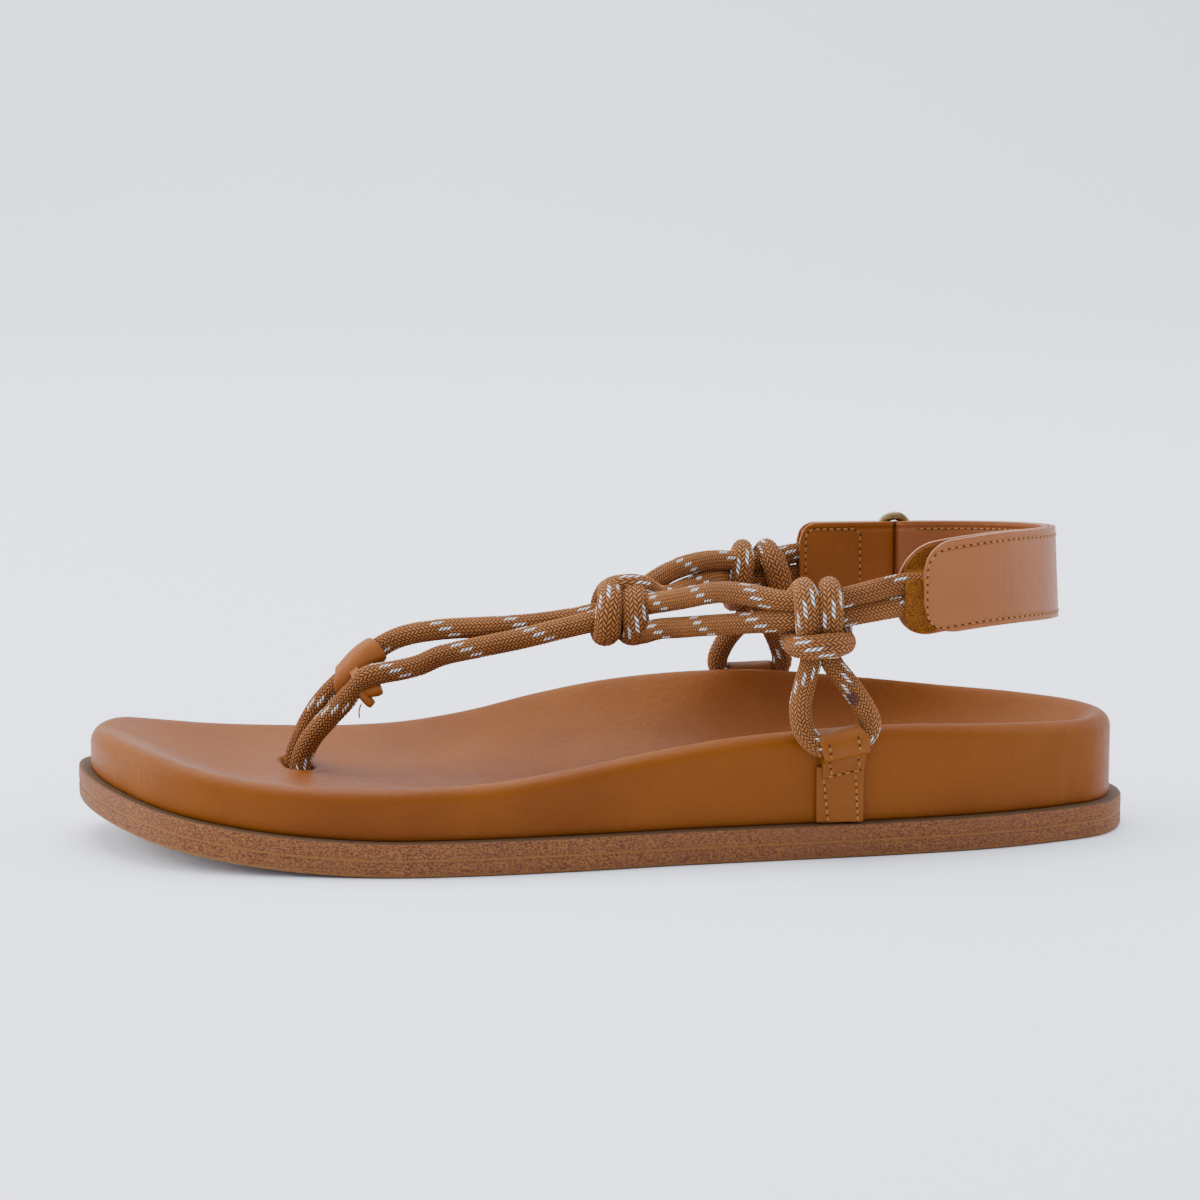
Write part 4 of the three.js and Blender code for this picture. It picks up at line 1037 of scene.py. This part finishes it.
def one_stitch(long, wide):
    fresh()
    bpy.ops.mesh.primitive_uv_sphere_add(segments=8, ring_count=6, radius=0.5 * MM)
    bpy.ops.object.mode_set(mode="EDIT")
    bpy.ops.transform.resize(value=(long, wide, wide * 0.8))
    bpy.ops.object.mode_set(mode="OBJECT")
    bpy.ops.object.shade_smooth()
    return named("stitch")


def seam(name, rows, long, wide):
    """Copies of one stitch along rows of (place, way on, way out), joined into a piece."""
    pattern = one_stitch(long, wide)
    copies = []
    for place, on, out in rows:
        on = Vector(on).normalized()
        out = Vector(out)
        out = (out - on * out.dot(on)).normalized()
        turn = Matrix((on, out.cross(on), out)).transposed().to_4x4()
        copy = pattern.copy()
        copy.data = pattern.data.copy()
        copy.data.transform(Matrix.Translation(Vector(place) * MM) @ turn)
        bpy.context.collection.objects.link(copy)
        copies.append(copy)
    bpy.data.objects.remove(pattern)
    return join_all(name, copies)


def round_path(corners, radius):
    """Evenly spaced places for stitches on a flat path with rounded corners."""
    path = [corners[0]]
    for before, corner, after in zip(corners, corners[1:], corners[2:]):
        corner = np.array(corner)
        to, on = corner - before, after - corner
        start = corner - to / np.linalg.norm(to) * radius
        end = corner + on / np.linalg.norm(on) * radius
        for t in np.linspace(0, 1, 9):
            path.append((1 - t) ** 2 * start + 2 * t * (1 - t) * corner + t * t * end)
    return even_steps(np.array([*path, corners[-1]], dtype=float), STITCH_PITCH)


def sew_on(path, points, out, up, lift):
    """Stitch rows for a path of (length along, width) on a strip, lifted out of its middle."""
    run = length_along(points)
    middle, upwards, away = (values_at(path[:, 0], run, table) for table in (points, up, out))
    places = middle + upwards * path[:, 1:2] + away * lift
    ways = np.gradient(places, axis=0)
    return list(zip(places, ways, away))


def needle_holes(rows):
    """The places half a stitch further on, a little deeper in the leather."""
    holes = []
    for place, on, out in rows:
        on = np.array(on) / np.linalg.norm(on)
        holes.append((place + on * (STITCH_PITCH / 2) - np.array(out) * HOLE_SUNK, on, out))
    return holes


def sew(name, rows, slot):
    """The stitches of some rows and the painted shade of the holes between them, as two pieces."""
    stitches = seam(name + "_stitches", rows, STITCH_LONG, THREAD)
    settle(stitches, slot)
    holes = seam(name + "_needle_holes", needle_holes(rows), HOLE_LONG, HOLE_WIDE)
    settle(holes, slot)
    return stitches, holes


print("one stitch every", STITCH_PITCH, "mm")

# %% [markdown]
# The heel strap is one long strip: from its front end on the outer side, round the heel, through
# the ring, and back on itself to a rounded flap that closes on hook and loop. It is drawn level and
# then set: it tilts down towards the inner side, and the front of the flap hangs a little.

# %% The heel strap's measures
STRAP_HEIGHT = 63.4
STRAP_WIDTH = 22.3
STRAP_TILT = -0.08
FLAP_DROOP = 0.004
DROOP_START = 100
LEAF = 1.4
LEAF_GAP = 0.4
FLAP_STAND = 3.4  # how much further out the flap stands, over the cords' ends
FLAP_LEVEL, FLAP_EASE, BAR_EASE = 6, 24, 14
FOOT_LINE = 2.2
STRAP_HALF = 25.8
STRAP_BACK = 111.7
STRAP_LEAN = 0.054  # how far the heel curve leans forward for each millimetre of height
STRAP_NEAR_END = 67.3
FLAP_TIP = 72.8
RING_X = 76.5
RING_WIRE = 1.7
FOLD_SWELL = 0.16  # how much further the leather reaches round the bar than a true circle
RING_TAB_FRONT = 51.9
PRESSED_ROPE = 3.2
APART = LEAF + LEAF_GAP
BAR_TURN = RING_WIRE / 2 + SEAT_GAP + LEAF / 2
RING_HALF = RING_WIRE / 2 + LEAF + 1.5 * SEAT_GAP
BAR_Y = FOOT_LINE + STRAP_HALF + BAR_TURN
ARC_REACH = STRAP_HALF + 1
ARC_X = STRAP_BACK - APART - LEAF / 2 - ARC_REACH


def level(line):
    """A line in plan as points at height 0."""
    return np.column_stack([line, np.zeros(len(line))])


def arc(x, y, wide, long, turn):
    """Points of an oval round x, y."""
    return np.stack([x + wide * np.cos(turn), y + long * np.sin(turn)], axis=1)


def hang(points):
    """Sets level strap points at their height, tilt and droop."""
    x, y, z = points.T
    ahead = np.where(y < FOOT_LINE, np.maximum(0, DROOP_START - x), 0)
    height = z + STRAP_HEIGHT + STRAP_TILT * (y - FOOT_LINE) - FLAP_DROOP * ahead**2
    return np.stack([x, y, height], axis=1)


def upright(points):
    """The way up in the strap at each point: it leans forward round the heel."""
    up = np.tile((0.0, 0.0, 1.0), (len(points), 1))
    up[:, 0] = -STRAP_LEAN * smooth((points[:, 0] - ARC_X) / ARC_REACH)
    return up


def heel_way(step=0.8):
    """The inner leaf's middle, level, from the near front to the ring, and the way out."""
    straight = np.arange(STRAP_NEAR_END, ARC_X, step)
    near = np.stack([straight, np.full_like(straight, FOOT_LINE - STRAP_HALF)], axis=1)
    round_heel = arc(ARC_X, FOOT_LINE, ARC_REACH, STRAP_HALF, np.linspace(-np.pi / 2, np.pi / 2, 110))
    bar_x = RING_X + RING_HALF
    far = np.array([(x, FOOT_LINE + STRAP_HALF) for x in np.arange(ARC_X - step, bar_x, -step)])
    line = np.vstack([near, round_heel, far.reshape(-1, 2)])
    on = np.gradient(line, axis=0)
    return line, unit(np.stack([on[:, 1], -on[:, 0]], axis=1))


def leaf_distance(line):
    near = APART + FLAP_STAND * (1 - smooth((line[:, 0] - FLAP_TIP - FLAP_LEVEL) / FLAP_EASE))
    at_bar = 1 - smooth((line[:, 0] - RING_X - RING_HALF) / BAR_EASE)
    far = APART + (2 * BAR_TURN - APART) * at_bar
    return np.where(line[:, 1] < FOOT_LINE, near, far)


line, outward = heel_way()
outer_line = line + outward * leaf_distance(line)[:, None]
fold_reach = BAR_TURN + FOLD_SWELL
bar_turn = np.linspace(-np.pi / 2, -1.5 * np.pi, 14)[1:-1]
bar_arc = arc(RING_X + RING_HALF, BAR_Y, fold_reach, BAR_TURN, bar_turn)
print("strap leather", round(2 * length_along(line)[-1]), "mm long")


# %% [markdown]
# The inner leaf, the turn round the ring's bar and the outer leaf are bent from one grid. Its ends
# are rounded: the hidden one with a large radius, the flap's corners as the picture shows them.

# %% Heel strap
def outward_of(points):
    on = np.gradient(points, axis=0)
    return unit(np.stack([on[:, 1], -on[:, 0], np.zeros(len(on))], axis=1))


def strap_strip(name, plan, rounding):
    """A standing strip along a plan line, with round corners, hung in its place."""
    points = level(plan)
    low, high = rounded(length_along(points), STRAP_WIDTH / 2, **rounding)
    points = hang(points)
    return strip(name, points, upright(points), low, high, LEAF, across=18), points


def add_heel_strap():
    flap_end = np.argmax(outer_line[:, 0] > FLAP_TIP)
    plan = np.vstack([line, bar_arc, outer_line[flap_end:][::-1]])
    corners = {"start_top": 9, "start_low": 9, "end_top": 6.5, "end_low": 8.5}
    return strap_strip("heel_strap_leather", plan, corners)[0]


heel_strap = add_heel_strap()
settle(heel_strap, "strap_leather", "heel_strap")

# %% [markdown]
# Under the flap the strap carries a pad of loop pile, which also covers the sewn ends of the two
# cords. It is a sheet that swells over each cord and lies flat on the leather beside them.

# %% Pile pad
PAD_FROM, PAD_TO = 68.4, 77
PAD_THICK = 0.9
PAD_OVER_LEAF = 24.9
PAD_OVER_CORD = 28.7
CORD_HEIGHTS = (1.3, -4.1)  # of the two cord ends, over the strap's middle
CORD_SPREAD = 3.4


def add_pile_pad():
    xs = np.arange(PAD_FROM, PAD_TO, 0.35)
    points = np.column_stack([xs, np.full(len(xs), FOOT_LINE - STRAP_HALF), np.zeros(len(xs))])
    low, high = rounded(length_along(points), STRAP_WIDTH / 2 - 0.6, start_top=7, start_low=7)
    piece, _, a, i = flat_sheet("loop_pile_pad", len(xs) - 1, 48)
    width = low[i] + (high[i] - low[i]) * a
    over = sum(np.exp(-(((width - height) / CORD_SPREAD) ** 4)) for height in CORD_HEIGHTS)
    top = PAD_OVER_CORD - 0.45 * smooth((xs[i] - 70) / 2.6)
    hung = hang(points)[i]
    hung[:, 1] = -(PAD_OVER_LEAF + (top - PAD_OVER_LEAF) * np.minimum(over, 1))
    hung[:, 2] += width
    set_points(piece, hung)
    set_sheet(piece, xs[i], width)
    finish_with(piece, "SOLIDIFY", thickness=PAD_THICK * MM, offset=0)
    close_up(piece, 1e-8)
    return piece


pile_pad = add_pile_pad()
settle(pile_pad, "strap_leather")
pile = Finish("loop_pile", roughness=0.95, specular_ior_level=0.1)
tuft = pile.noise(3.2, 4, 0.7)
# painted shade: the pile is darker where its bump is low, between the tufts
pile.colour(pile.mix(pile.between(tuft, 0.35, 0.65), (0.070, 0.018, 0.002), (0.300, 0.105, 0.016)))
pile.relief(tuft, 0.5)
pile.on(pile_pad)

# %% [markdown]
# The ring tab is a shorter strap: folded round the ring's front bar, with the two inner cords sewn
# in between its halves. It is bent from one strip too, over the bar and back.


# %% Ring tab
def add_ring_tab():
    bar_x = RING_X - RING_HALF
    half = (PRESSED_ROPE + LEAF) / 2 + 0.1
    fold = arc(bar_x, BAR_Y, fold_reach, BAR_TURN, np.linspace(-np.pi / 2, np.pi / 2, 13))
    xs = np.arange(RING_TAB_FRONT, bar_x - 0.3, 0.7)
    reach = half + (BAR_TURN - half) * smooth((xs - 61) / 9)
    near = np.stack([xs, BAR_Y - reach], axis=1)
    far = np.stack([xs, BAR_Y + reach], axis=1)[::-1]
    corners = dict.fromkeys(("start_top", "start_low", "end_top", "end_low"), 4.5)
    piece, points = strap_strip("ring_tab_leather", np.vstack([near, fold, far]), corners)
    return piece, points, length_along(points)[len(near)]


ring_tab, tab_points, near_length = add_ring_tab()
settle(ring_tab, "strap_leather", "ring_tab")

# %% [markdown]
# Pale gold thread runs round the flap and along both edges of the strap, and in a rectangle on the
# ring tab. Each seam is a path drawn on the unrolled strip, in lengths along it and heights, so that
# the same few lines sew every strap.

# %% Seams of the straps
EDGE_TOP, EDGE_LOW, EDGE_TIP = 1.9, 1.5, 0.95
TAB_INSET = 1.7
FLAP_CORNER, TAB_CORNER = 5.5, 2.6  # how round the seams turn
half_strap = STRAP_WIDTH / 2
lift = LEAF / 2 + 0.02


def strap_seams():
    """Rows of stitches on the outer leaf, round its flap, and on the far leaf's inner face."""
    flat_out = level(outward)
    outer = hang(level(outer_line))
    run = length_along(outer)
    tip = np.interp(FLAP_TIP, outer_line[:60, 0], run[:60]) + EDGE_TIP
    top, low = half_strap - EDGE_TOP, -half_strap + EDGE_LOW
    corners = [(run[-1] - 5, top), (tip, top), (tip, low), (run[-1] - 5, low)]
    rows = sew_on(round_path(np.array(corners), FLAP_CORNER), outer, flat_out, upright(outer), lift)
    inner = hang(level(line))
    for height in (top, low):
        path = round_path(np.array([(20, height), (60, height), (length_along(inner)[-1] - 4, height)]), 1)
        rows += sew_on(path, inner, -flat_out, upright(inner), lift)
    return rows


def tab_seam():
    """The ring tab's rectangle, on the face towards the foot."""
    top, low = half_strap - TAB_INSET, -half_strap + TAB_INSET
    left, right = 1.5, near_length - 6.5
    corners = np.array([(8, low), (left, low), (left, top), (right, top), (right, low), (8, low)])
    path = round_path(corners, TAB_CORNER)
    return sew_on(path, tab_points, outward_of(tab_points), upright(tab_points), lift)


strap_thread, strap_hole_shades = sew("strap", strap_seams() + tab_seam(), "strap_leather")

# %% [markdown]
# The strap leather is the same hide in a paler, pinker tan, a little drier. Along each seam the
# needle pulls the leather down, so a soft groove runs just inside the edges.


# %% Finish of the straps
def sewn(skin, half, inside=1.7):
    """Adds a pressed groove inside both long edges of a strip."""
    across = skin.on_sheet()[1]
    away = skin.off(skin.math("ABSOLUTE", across), half - inside)
    skin.relief(skin.between(away, 0.1, 0.9), 0.28)


STRAP_TAN = (0.205, 0.064, 0.017), (0.255, 0.086, 0.026), (0.30, 0.118, 0.045)
RING_TAB_TAN = (0.180, 0.050, 0.004), (0.235, 0.070, 0.008), (0.31, 0.11, 0.015)
tan = leather("tan_strap_leather", STRAP_TAN, 0.46, 0.2)
sewn(tan, STRAP_WIDTH / 2)
tan.on(heel_strap)
tan_tab = leather("ring_tab_skin", RING_TAB_TAN, 0.45, 0.15)
sewn(tan_tab, STRAP_WIDTH / 2)
tan_tab.on(ring_tab)
thread = Finish("gold_thread", roughness=0.6, specular_ior_level=0.3)
thread.colour(thread.mix(thread.noise(2, 2), (0.20, 0.078, 0.010), (0.33, 0.150, 0.028)))
thread.on(strap_thread)
# painted shade: the dark colour of the needle holes stands for the shade inside them
hole_shade = Finish("needle_hole", roughness=0.9, specular_ior_level=0.1)
hole_shade.colour((0.060, 0.017, 0.003))
hole_shade.on(strap_hole_shades)

# %% [markdown]
# The ring is round brass wire bent to an upright oval. A torus is added at the wire's size, and its
# upper and lower halves are moved apart, which leaves two straight bars.

# %% Ring
RING_SHORT = 2.2
RING_WIDER = 1.32  # the ring's arcs stand wider than its bars need


def add_ring():
    fresh()
    bpy.ops.mesh.primitive_torus_add(
        major_segments=64, minor_segments=24, major_radius=RING_HALF * MM, minor_radius=RING_WIRE / 2 * MM
    )
    piece = named("brass_ring")
    at = np.empty(3 * len(piece.data.vertices), dtype=np.float32)
    piece.data.vertices.foreach_get("co", at)
    x, y, z = (at.reshape(-1, 3) / MM).T
    tall = STRAP_WIDTH / 2 - RING_SHORT
    height = y * RING_WIDER + np.sign(np.round(y, 4)) * tall
    set_points(piece, hang(np.stack([x * RING_WIDER + RING_X, BAR_Y + z, height], axis=1)))
    close_up(piece, 1e-7)
    return piece


ring = add_ring()
settle(ring, "antique_brass", "ring")
brass = Finish("aged_brass", metallic=1.0, roughness=0.34)
wear = brass.noise(0.5, 4, 0.6)
brass.colour(brass.mix(brass.between(wear, 0.35, 0.7), (0.150, 0.105, 0.050), (0.36, 0.27, 0.13)))
brass.rough(brass.plus(0.24, brass.times(wear, 0.25)))
brass.relief(brass.noise(3, 3), 0.02)
brass.on(ring)

# %% [markdown]
# A side tab is a short leather strip, folded over the loop's cord and sewn to itself and to the wall.
# Its way is drawn in the upright plane across the sole: up from the ledge behind, round the cord and
# down in front to the seam, with edges of its own. A second, lower leaf runs from the ledge to the
# seam.

# %% Side tabs
TAB_LEAF = 1.2
OUTER_TAB = {"x": 53.2, "y": -36.7, "z": 28, "seam": 20.5}
INNER_TAB = {"x": 40.4, "y": 35.6, "z": 31.9, "seam": 24}
INNER_HALF = 5.6
STITCH_OUT = TAB_LEAF / 2 + 0.02


def wall_y(x, side):
    """Where the footbed's wall stands at a place along the sole."""
    ox, oy, _ = outline(LEDGE)
    pick = ON_INNER if side > 0 else ~ON_INNER
    order = np.argsort(ox[pick])
    return float(np.interp(x, ox[pick][order], oy[pick][order]))


def tab_way(x, y, z, seam):
    """The folded leaf's middle line as (out, height), from the ledge behind to the seam in front."""
    turn = ROPE_RADIUS + SEAT_GAP + TAB_LEAF / 2
    wall = abs(wall_y(x, y)) + SEAT_GAP * 0.4
    back = wall + TAB_LEAF / 2
    front = back + TAB_LEAF + 0.05
    angle = np.linspace(1.08 * np.pi, -0.22 * np.pi, 30)
    fold = arc(abs(y), z, turn, turn, angle)
    rise = [(back, float(outsole_top(x)) + 0.4), (back, z - turn - 1.6), (back + 0.05, z - turn * 0.5)]
    fall = [(front + 0.5, z - turn * 0.95), (front, z - turn - 2.0), (front, seam)]
    line = np.vstack([rise, fold, fall])
    return even_steps(eased(even_steps(line, 0.3), 0.3, 0.35), 0.35)


def stood_up(flat, x, side):
    """Turns a line of (out, height) into places on one side of the sole."""
    return np.stack([np.full(len(flat), x), side * flat[:, 0], flat[:, 1]], axis=1)


# the front leaf's edges fore and aft of its middle, at heights over the seam
LEAF_EDGES = np.array([(-2, -5.3, 4.6), (1.5, -5.3, 4.9), (5, -5.6, 5.3), (8.5, -6.4, 4.9), (11, -7, 3.2)])
TAB_SLANT = 0.2
INNER_SLANT = 0.03
LOWER_EDGES = (-6.7, 4.7)
# stitch lines on the leaves: fore or aft of the middle and height over the seam, at both ends
UPPER_SEAMS = [((-3.2, 1), (-4.5, 7.8)), ((3.4, 1.8), (2.4, 8.2)), ((-3.4, 0.1), (2.8, 0.1))]
LOWER_SEAMS = [((-4.9, -2), (-3.9, -11)), ((2.7, -1), (3.3, -11))]


def tab_leaf(name, points, low, high, slant):
    up = np.tile((1.0, 0.0, slant), (len(points), 1))
    return strip(name, points, up, low, high, TAB_LEAF, round_edge=0.3)


def add_tab(name, tab):
    side = math.copysign(1, tab["y"])
    flat = tab_way(**tab)
    over = flat[:, 1] - tab["seam"]
    if side < 0:
        low, high = values_at(over, LEAF_EDGES[:, 0], LEAF_EDGES[:, 1:]).T
    else:
        low, high = np.full(len(over), -INNER_HALF), np.full(len(over), INNER_HALF)
    slant = TAB_SLANT if side < 0 else INNER_SLANT
    leaf = tab_leaf("leaf", stood_up(flat, tab["x"], side), low, high, slant)
    foot = float(outsole_top(tab["x"])) + 0.4
    heights = np.arange(foot, tab["seam"] + 1.6, 0.5)
    out = flat[-1, 0] - 0.55
    panel = np.column_stack([np.full(len(heights), out), heights])
    edges = [np.full(len(heights), edge) for edge in LOWER_EDGES]
    lower = tab_leaf("lower", stood_up(panel, tab["x"], side), *edges, 0)
    return join_all(name, [leaf, lower]), tab_seams(tab, flat, out, side)


def tab_seams(tab, flat, lower_out, side):
    """Rows of stitches on the folded leaf and on the lower one."""
    front = flat[np.argmax(flat[:, 1]) :][::-1]
    rows = []
    for group, slant in ((UPPER_SEAMS, TAB_SLANT), (LOWER_SEAMS, 0)):
        for start, end in group:
            path = even_steps(np.array([start, end], dtype=float), STITCH_PITCH)
            height = path[:, 1] + tab["seam"]
            out = np.interp(height, front[:, 1], front[:, 0]) if slant else np.full(len(path), lower_out)
            raised_by = height + slant * path[:, 0]
            places = np.stack([tab["x"] + path[:, 0], side * (out + STITCH_OUT), raised_by], axis=1)
            rows += [(place, on, (0, side, 0)) for place, on in zip(places, np.gradient(places, axis=0))]
    return rows


outer_tab, outer_seams = add_tab("outer_tab_leather", OUTER_TAB)
settle(outer_tab, "footbed_leather", "outer_tab")
inner_tab, inner_seams = add_tab("inner_tab_leather", INNER_TAB)
settle(inner_tab, "footbed_leather", "inner_tab")
tab_thread, tab_hole_shades = sew("tab", outer_seams + inner_seams, "footbed_leather")
thread.on(tab_thread)
hole_shade.on(tab_hole_shades)
TAB_BROWN = (0.132, 0.036, 0.002), (0.175, 0.052, 0.004), (0.24, 0.08, 0.01)
tab_skin = leather("tab_leather", TAB_BROWN, 0.48, 0.15)
tab_skin.on(outer_tab)
tab_skin.on(inner_tab)

# %% [markdown]
# The toe keeper is a leather band pulled tight round both strands where they part. It is wide as a
# saddle over the inner strand, with a rolled lip at its near edge, and pinched to a narrow neck
# between and round the strands. Its rolled ends hang below.

# %% Toe keeper
KEEPER_LEAF = 0.9
NECK_WIDTH = 2.4
NECK_MIDDLE = np.array((-60, 9.9, 38.2))
NECK_ALONG = np.array((0.77, -0.05, 0.635))
STRANDS_APART = np.array((2.9, 1.2))
SADDLE_AT = np.array((-61.4, 12.9, 39.4))
# turn round the strand from its near side over the top, and the saddle's ends along the strand there
SADDLE = np.array([
    (-30, -5.6, 7.6), (-12, -6.8, 9), (20, -5.4, 9.2), (55, -3.4, 8.6), (90, -2.6, 7.6), (140, -2, 6.6),
    (190, -1.6, 6),
])
NEAR_DROOP = 46  # how much further the saddle's near edge turns under at its heel end
TAILS = [  # places and thickness
    ([(-59.8, 8.4, 35.6), (-58, 7.2, 35), (-56.4, 6.6, 35.1), (-54.8, 6.4, 35.7)], 1.6),
    ([(-60.4, 8.4, 35.8), (-59.6, 7.2, 34.4), (-58.4, 6.8, 32.8), (-57, 6.8, 31.6)], 1.3),
    ([(-59.8, 6.8, 32), (-60.6, 6.6, 30.2), (-60.3, 6.6, 28.4)], 0.22),
]


def tube(name, points, radius):
    """A plain round roll along a way, drawn in at its ends."""
    _, side, other = frames(points)
    piece, s, a, i = flat_sheet(name, len(points) - 1, 20)
    size = radius * (1 - 0.25 * (2 * s - 1) ** 6)
    turn = 2 * np.pi * a
    out = size[:, None] * (np.cos(turn)[:, None] * side[i] + np.sin(turn)[:, None] * other[i])
    set_points(piece, points[i] + out)
    set_sheet(piece, s, a)
    close_up(piece, 1e-7)
    return piece


def add_neck():
    """The narrow band round both strands, pulled tight."""
    along = NECK_ALONG / np.linalg.norm(NECK_ALONG)
    across = np.array((0, 1, 0)) - along * along[1]
    across /= np.linalg.norm(across)
    reach = ROPE_RADIUS - 0.35
    first = math.atan2(STRANDS_APART[1], STRANDS_APART[0]) + np.linspace(-np.pi / 2, np.pi / 2, 26)
    round_one = np.stack([np.cos(first), np.sin(first)], axis=1) * reach
    sunk = round_one * (1 - 0.75 * np.sin(np.linspace(0, np.pi, 26)) ** 0.7)[:, None]
    loop = np.vstack([STRANDS_APART + round_one, -STRANDS_APART - sunk, STRANDS_APART + round_one[:1]])
    flat = even_steps(loop, 0.35)
    points = NECK_MIDDLE + flat[:, :1] * across + flat[:, 1:2] * np.cross(along, across)
    edge = np.full(len(points), NECK_WIDTH / 2)
    up = np.tile(along, (len(points), 1))
    return strip("neck", points, up, -edge, edge, KEEPER_LEAF, across=6, round_edge=0.25)


def saddle_points(turn, share):
    """Places on the saddle, by the turn round the inner strand and the share of its length."""
    strand = way(INNER_STRAND, RING_STEP)
    run = length_along(strand)
    middle = run[np.argmin(np.linalg.norm(strand - SADDLE_AT, axis=1))]
    start, end = values_at(turn, SADDLE[:, 0], SADDLE[:, 1:]).T
    at = middle + start + (end - start) * share
    turn = turn - NEAR_DROOP * share * np.clip((40 - turn) / 70, 0, 1)
    centre = values_at(at, run, strand)
    on = unit(values_at(at, run, np.gradient(strand, axis=0)))
    near = unit(np.array((0, -1, 0)) + on * on[:, 1:2])
    angle = np.radians(turn)[:, None]
    reach = ROPE_RADIUS + 0.55 + 0.35 * np.sin(np.pi * share)[:, None]
    return centre + reach * (np.cos(angle) * near + np.sin(angle) * np.cross(near, on))


def add_saddle():
    piece, s, a, _ = flat_sheet("saddle", 44, 36)
    set_points(piece, saddle_points(SADDLE[0, 0] + (SADDLE[-1, 0] - SADDLE[0, 0]) * a, s))
    set_sheet(piece, s, a)
    finish_with(piece, "SOLIDIFY", thickness=KEEPER_LEAF * MM, offset=0)
    close_up(piece, 1e-8)
    share = np.linspace(0.01, 0.99, 50)
    lip = tube("lip", even_steps(saddle_points(np.full(50, SADDLE[0, 0] - 2.0), share), 0.4), 0.8)
    return [piece, lip]


tails = [tube("tail", way(places, 0.3), thick) for places, thick in TAILS]
keeper = join_all("toe_keeper_leather", [add_neck(), *add_saddle(), *tails])
settle(keeper, "strap_leather", "toe_keeper")
KEEPER_TAN = (0.235, 0.072, 0.012), (0.300, 0.100, 0.020), (0.40, 0.16, 0.04)
keeper_skin = leather("keeper_leather", KEEPER_TAN, 0.45, 0.15)
keeper_skin.on(keeper)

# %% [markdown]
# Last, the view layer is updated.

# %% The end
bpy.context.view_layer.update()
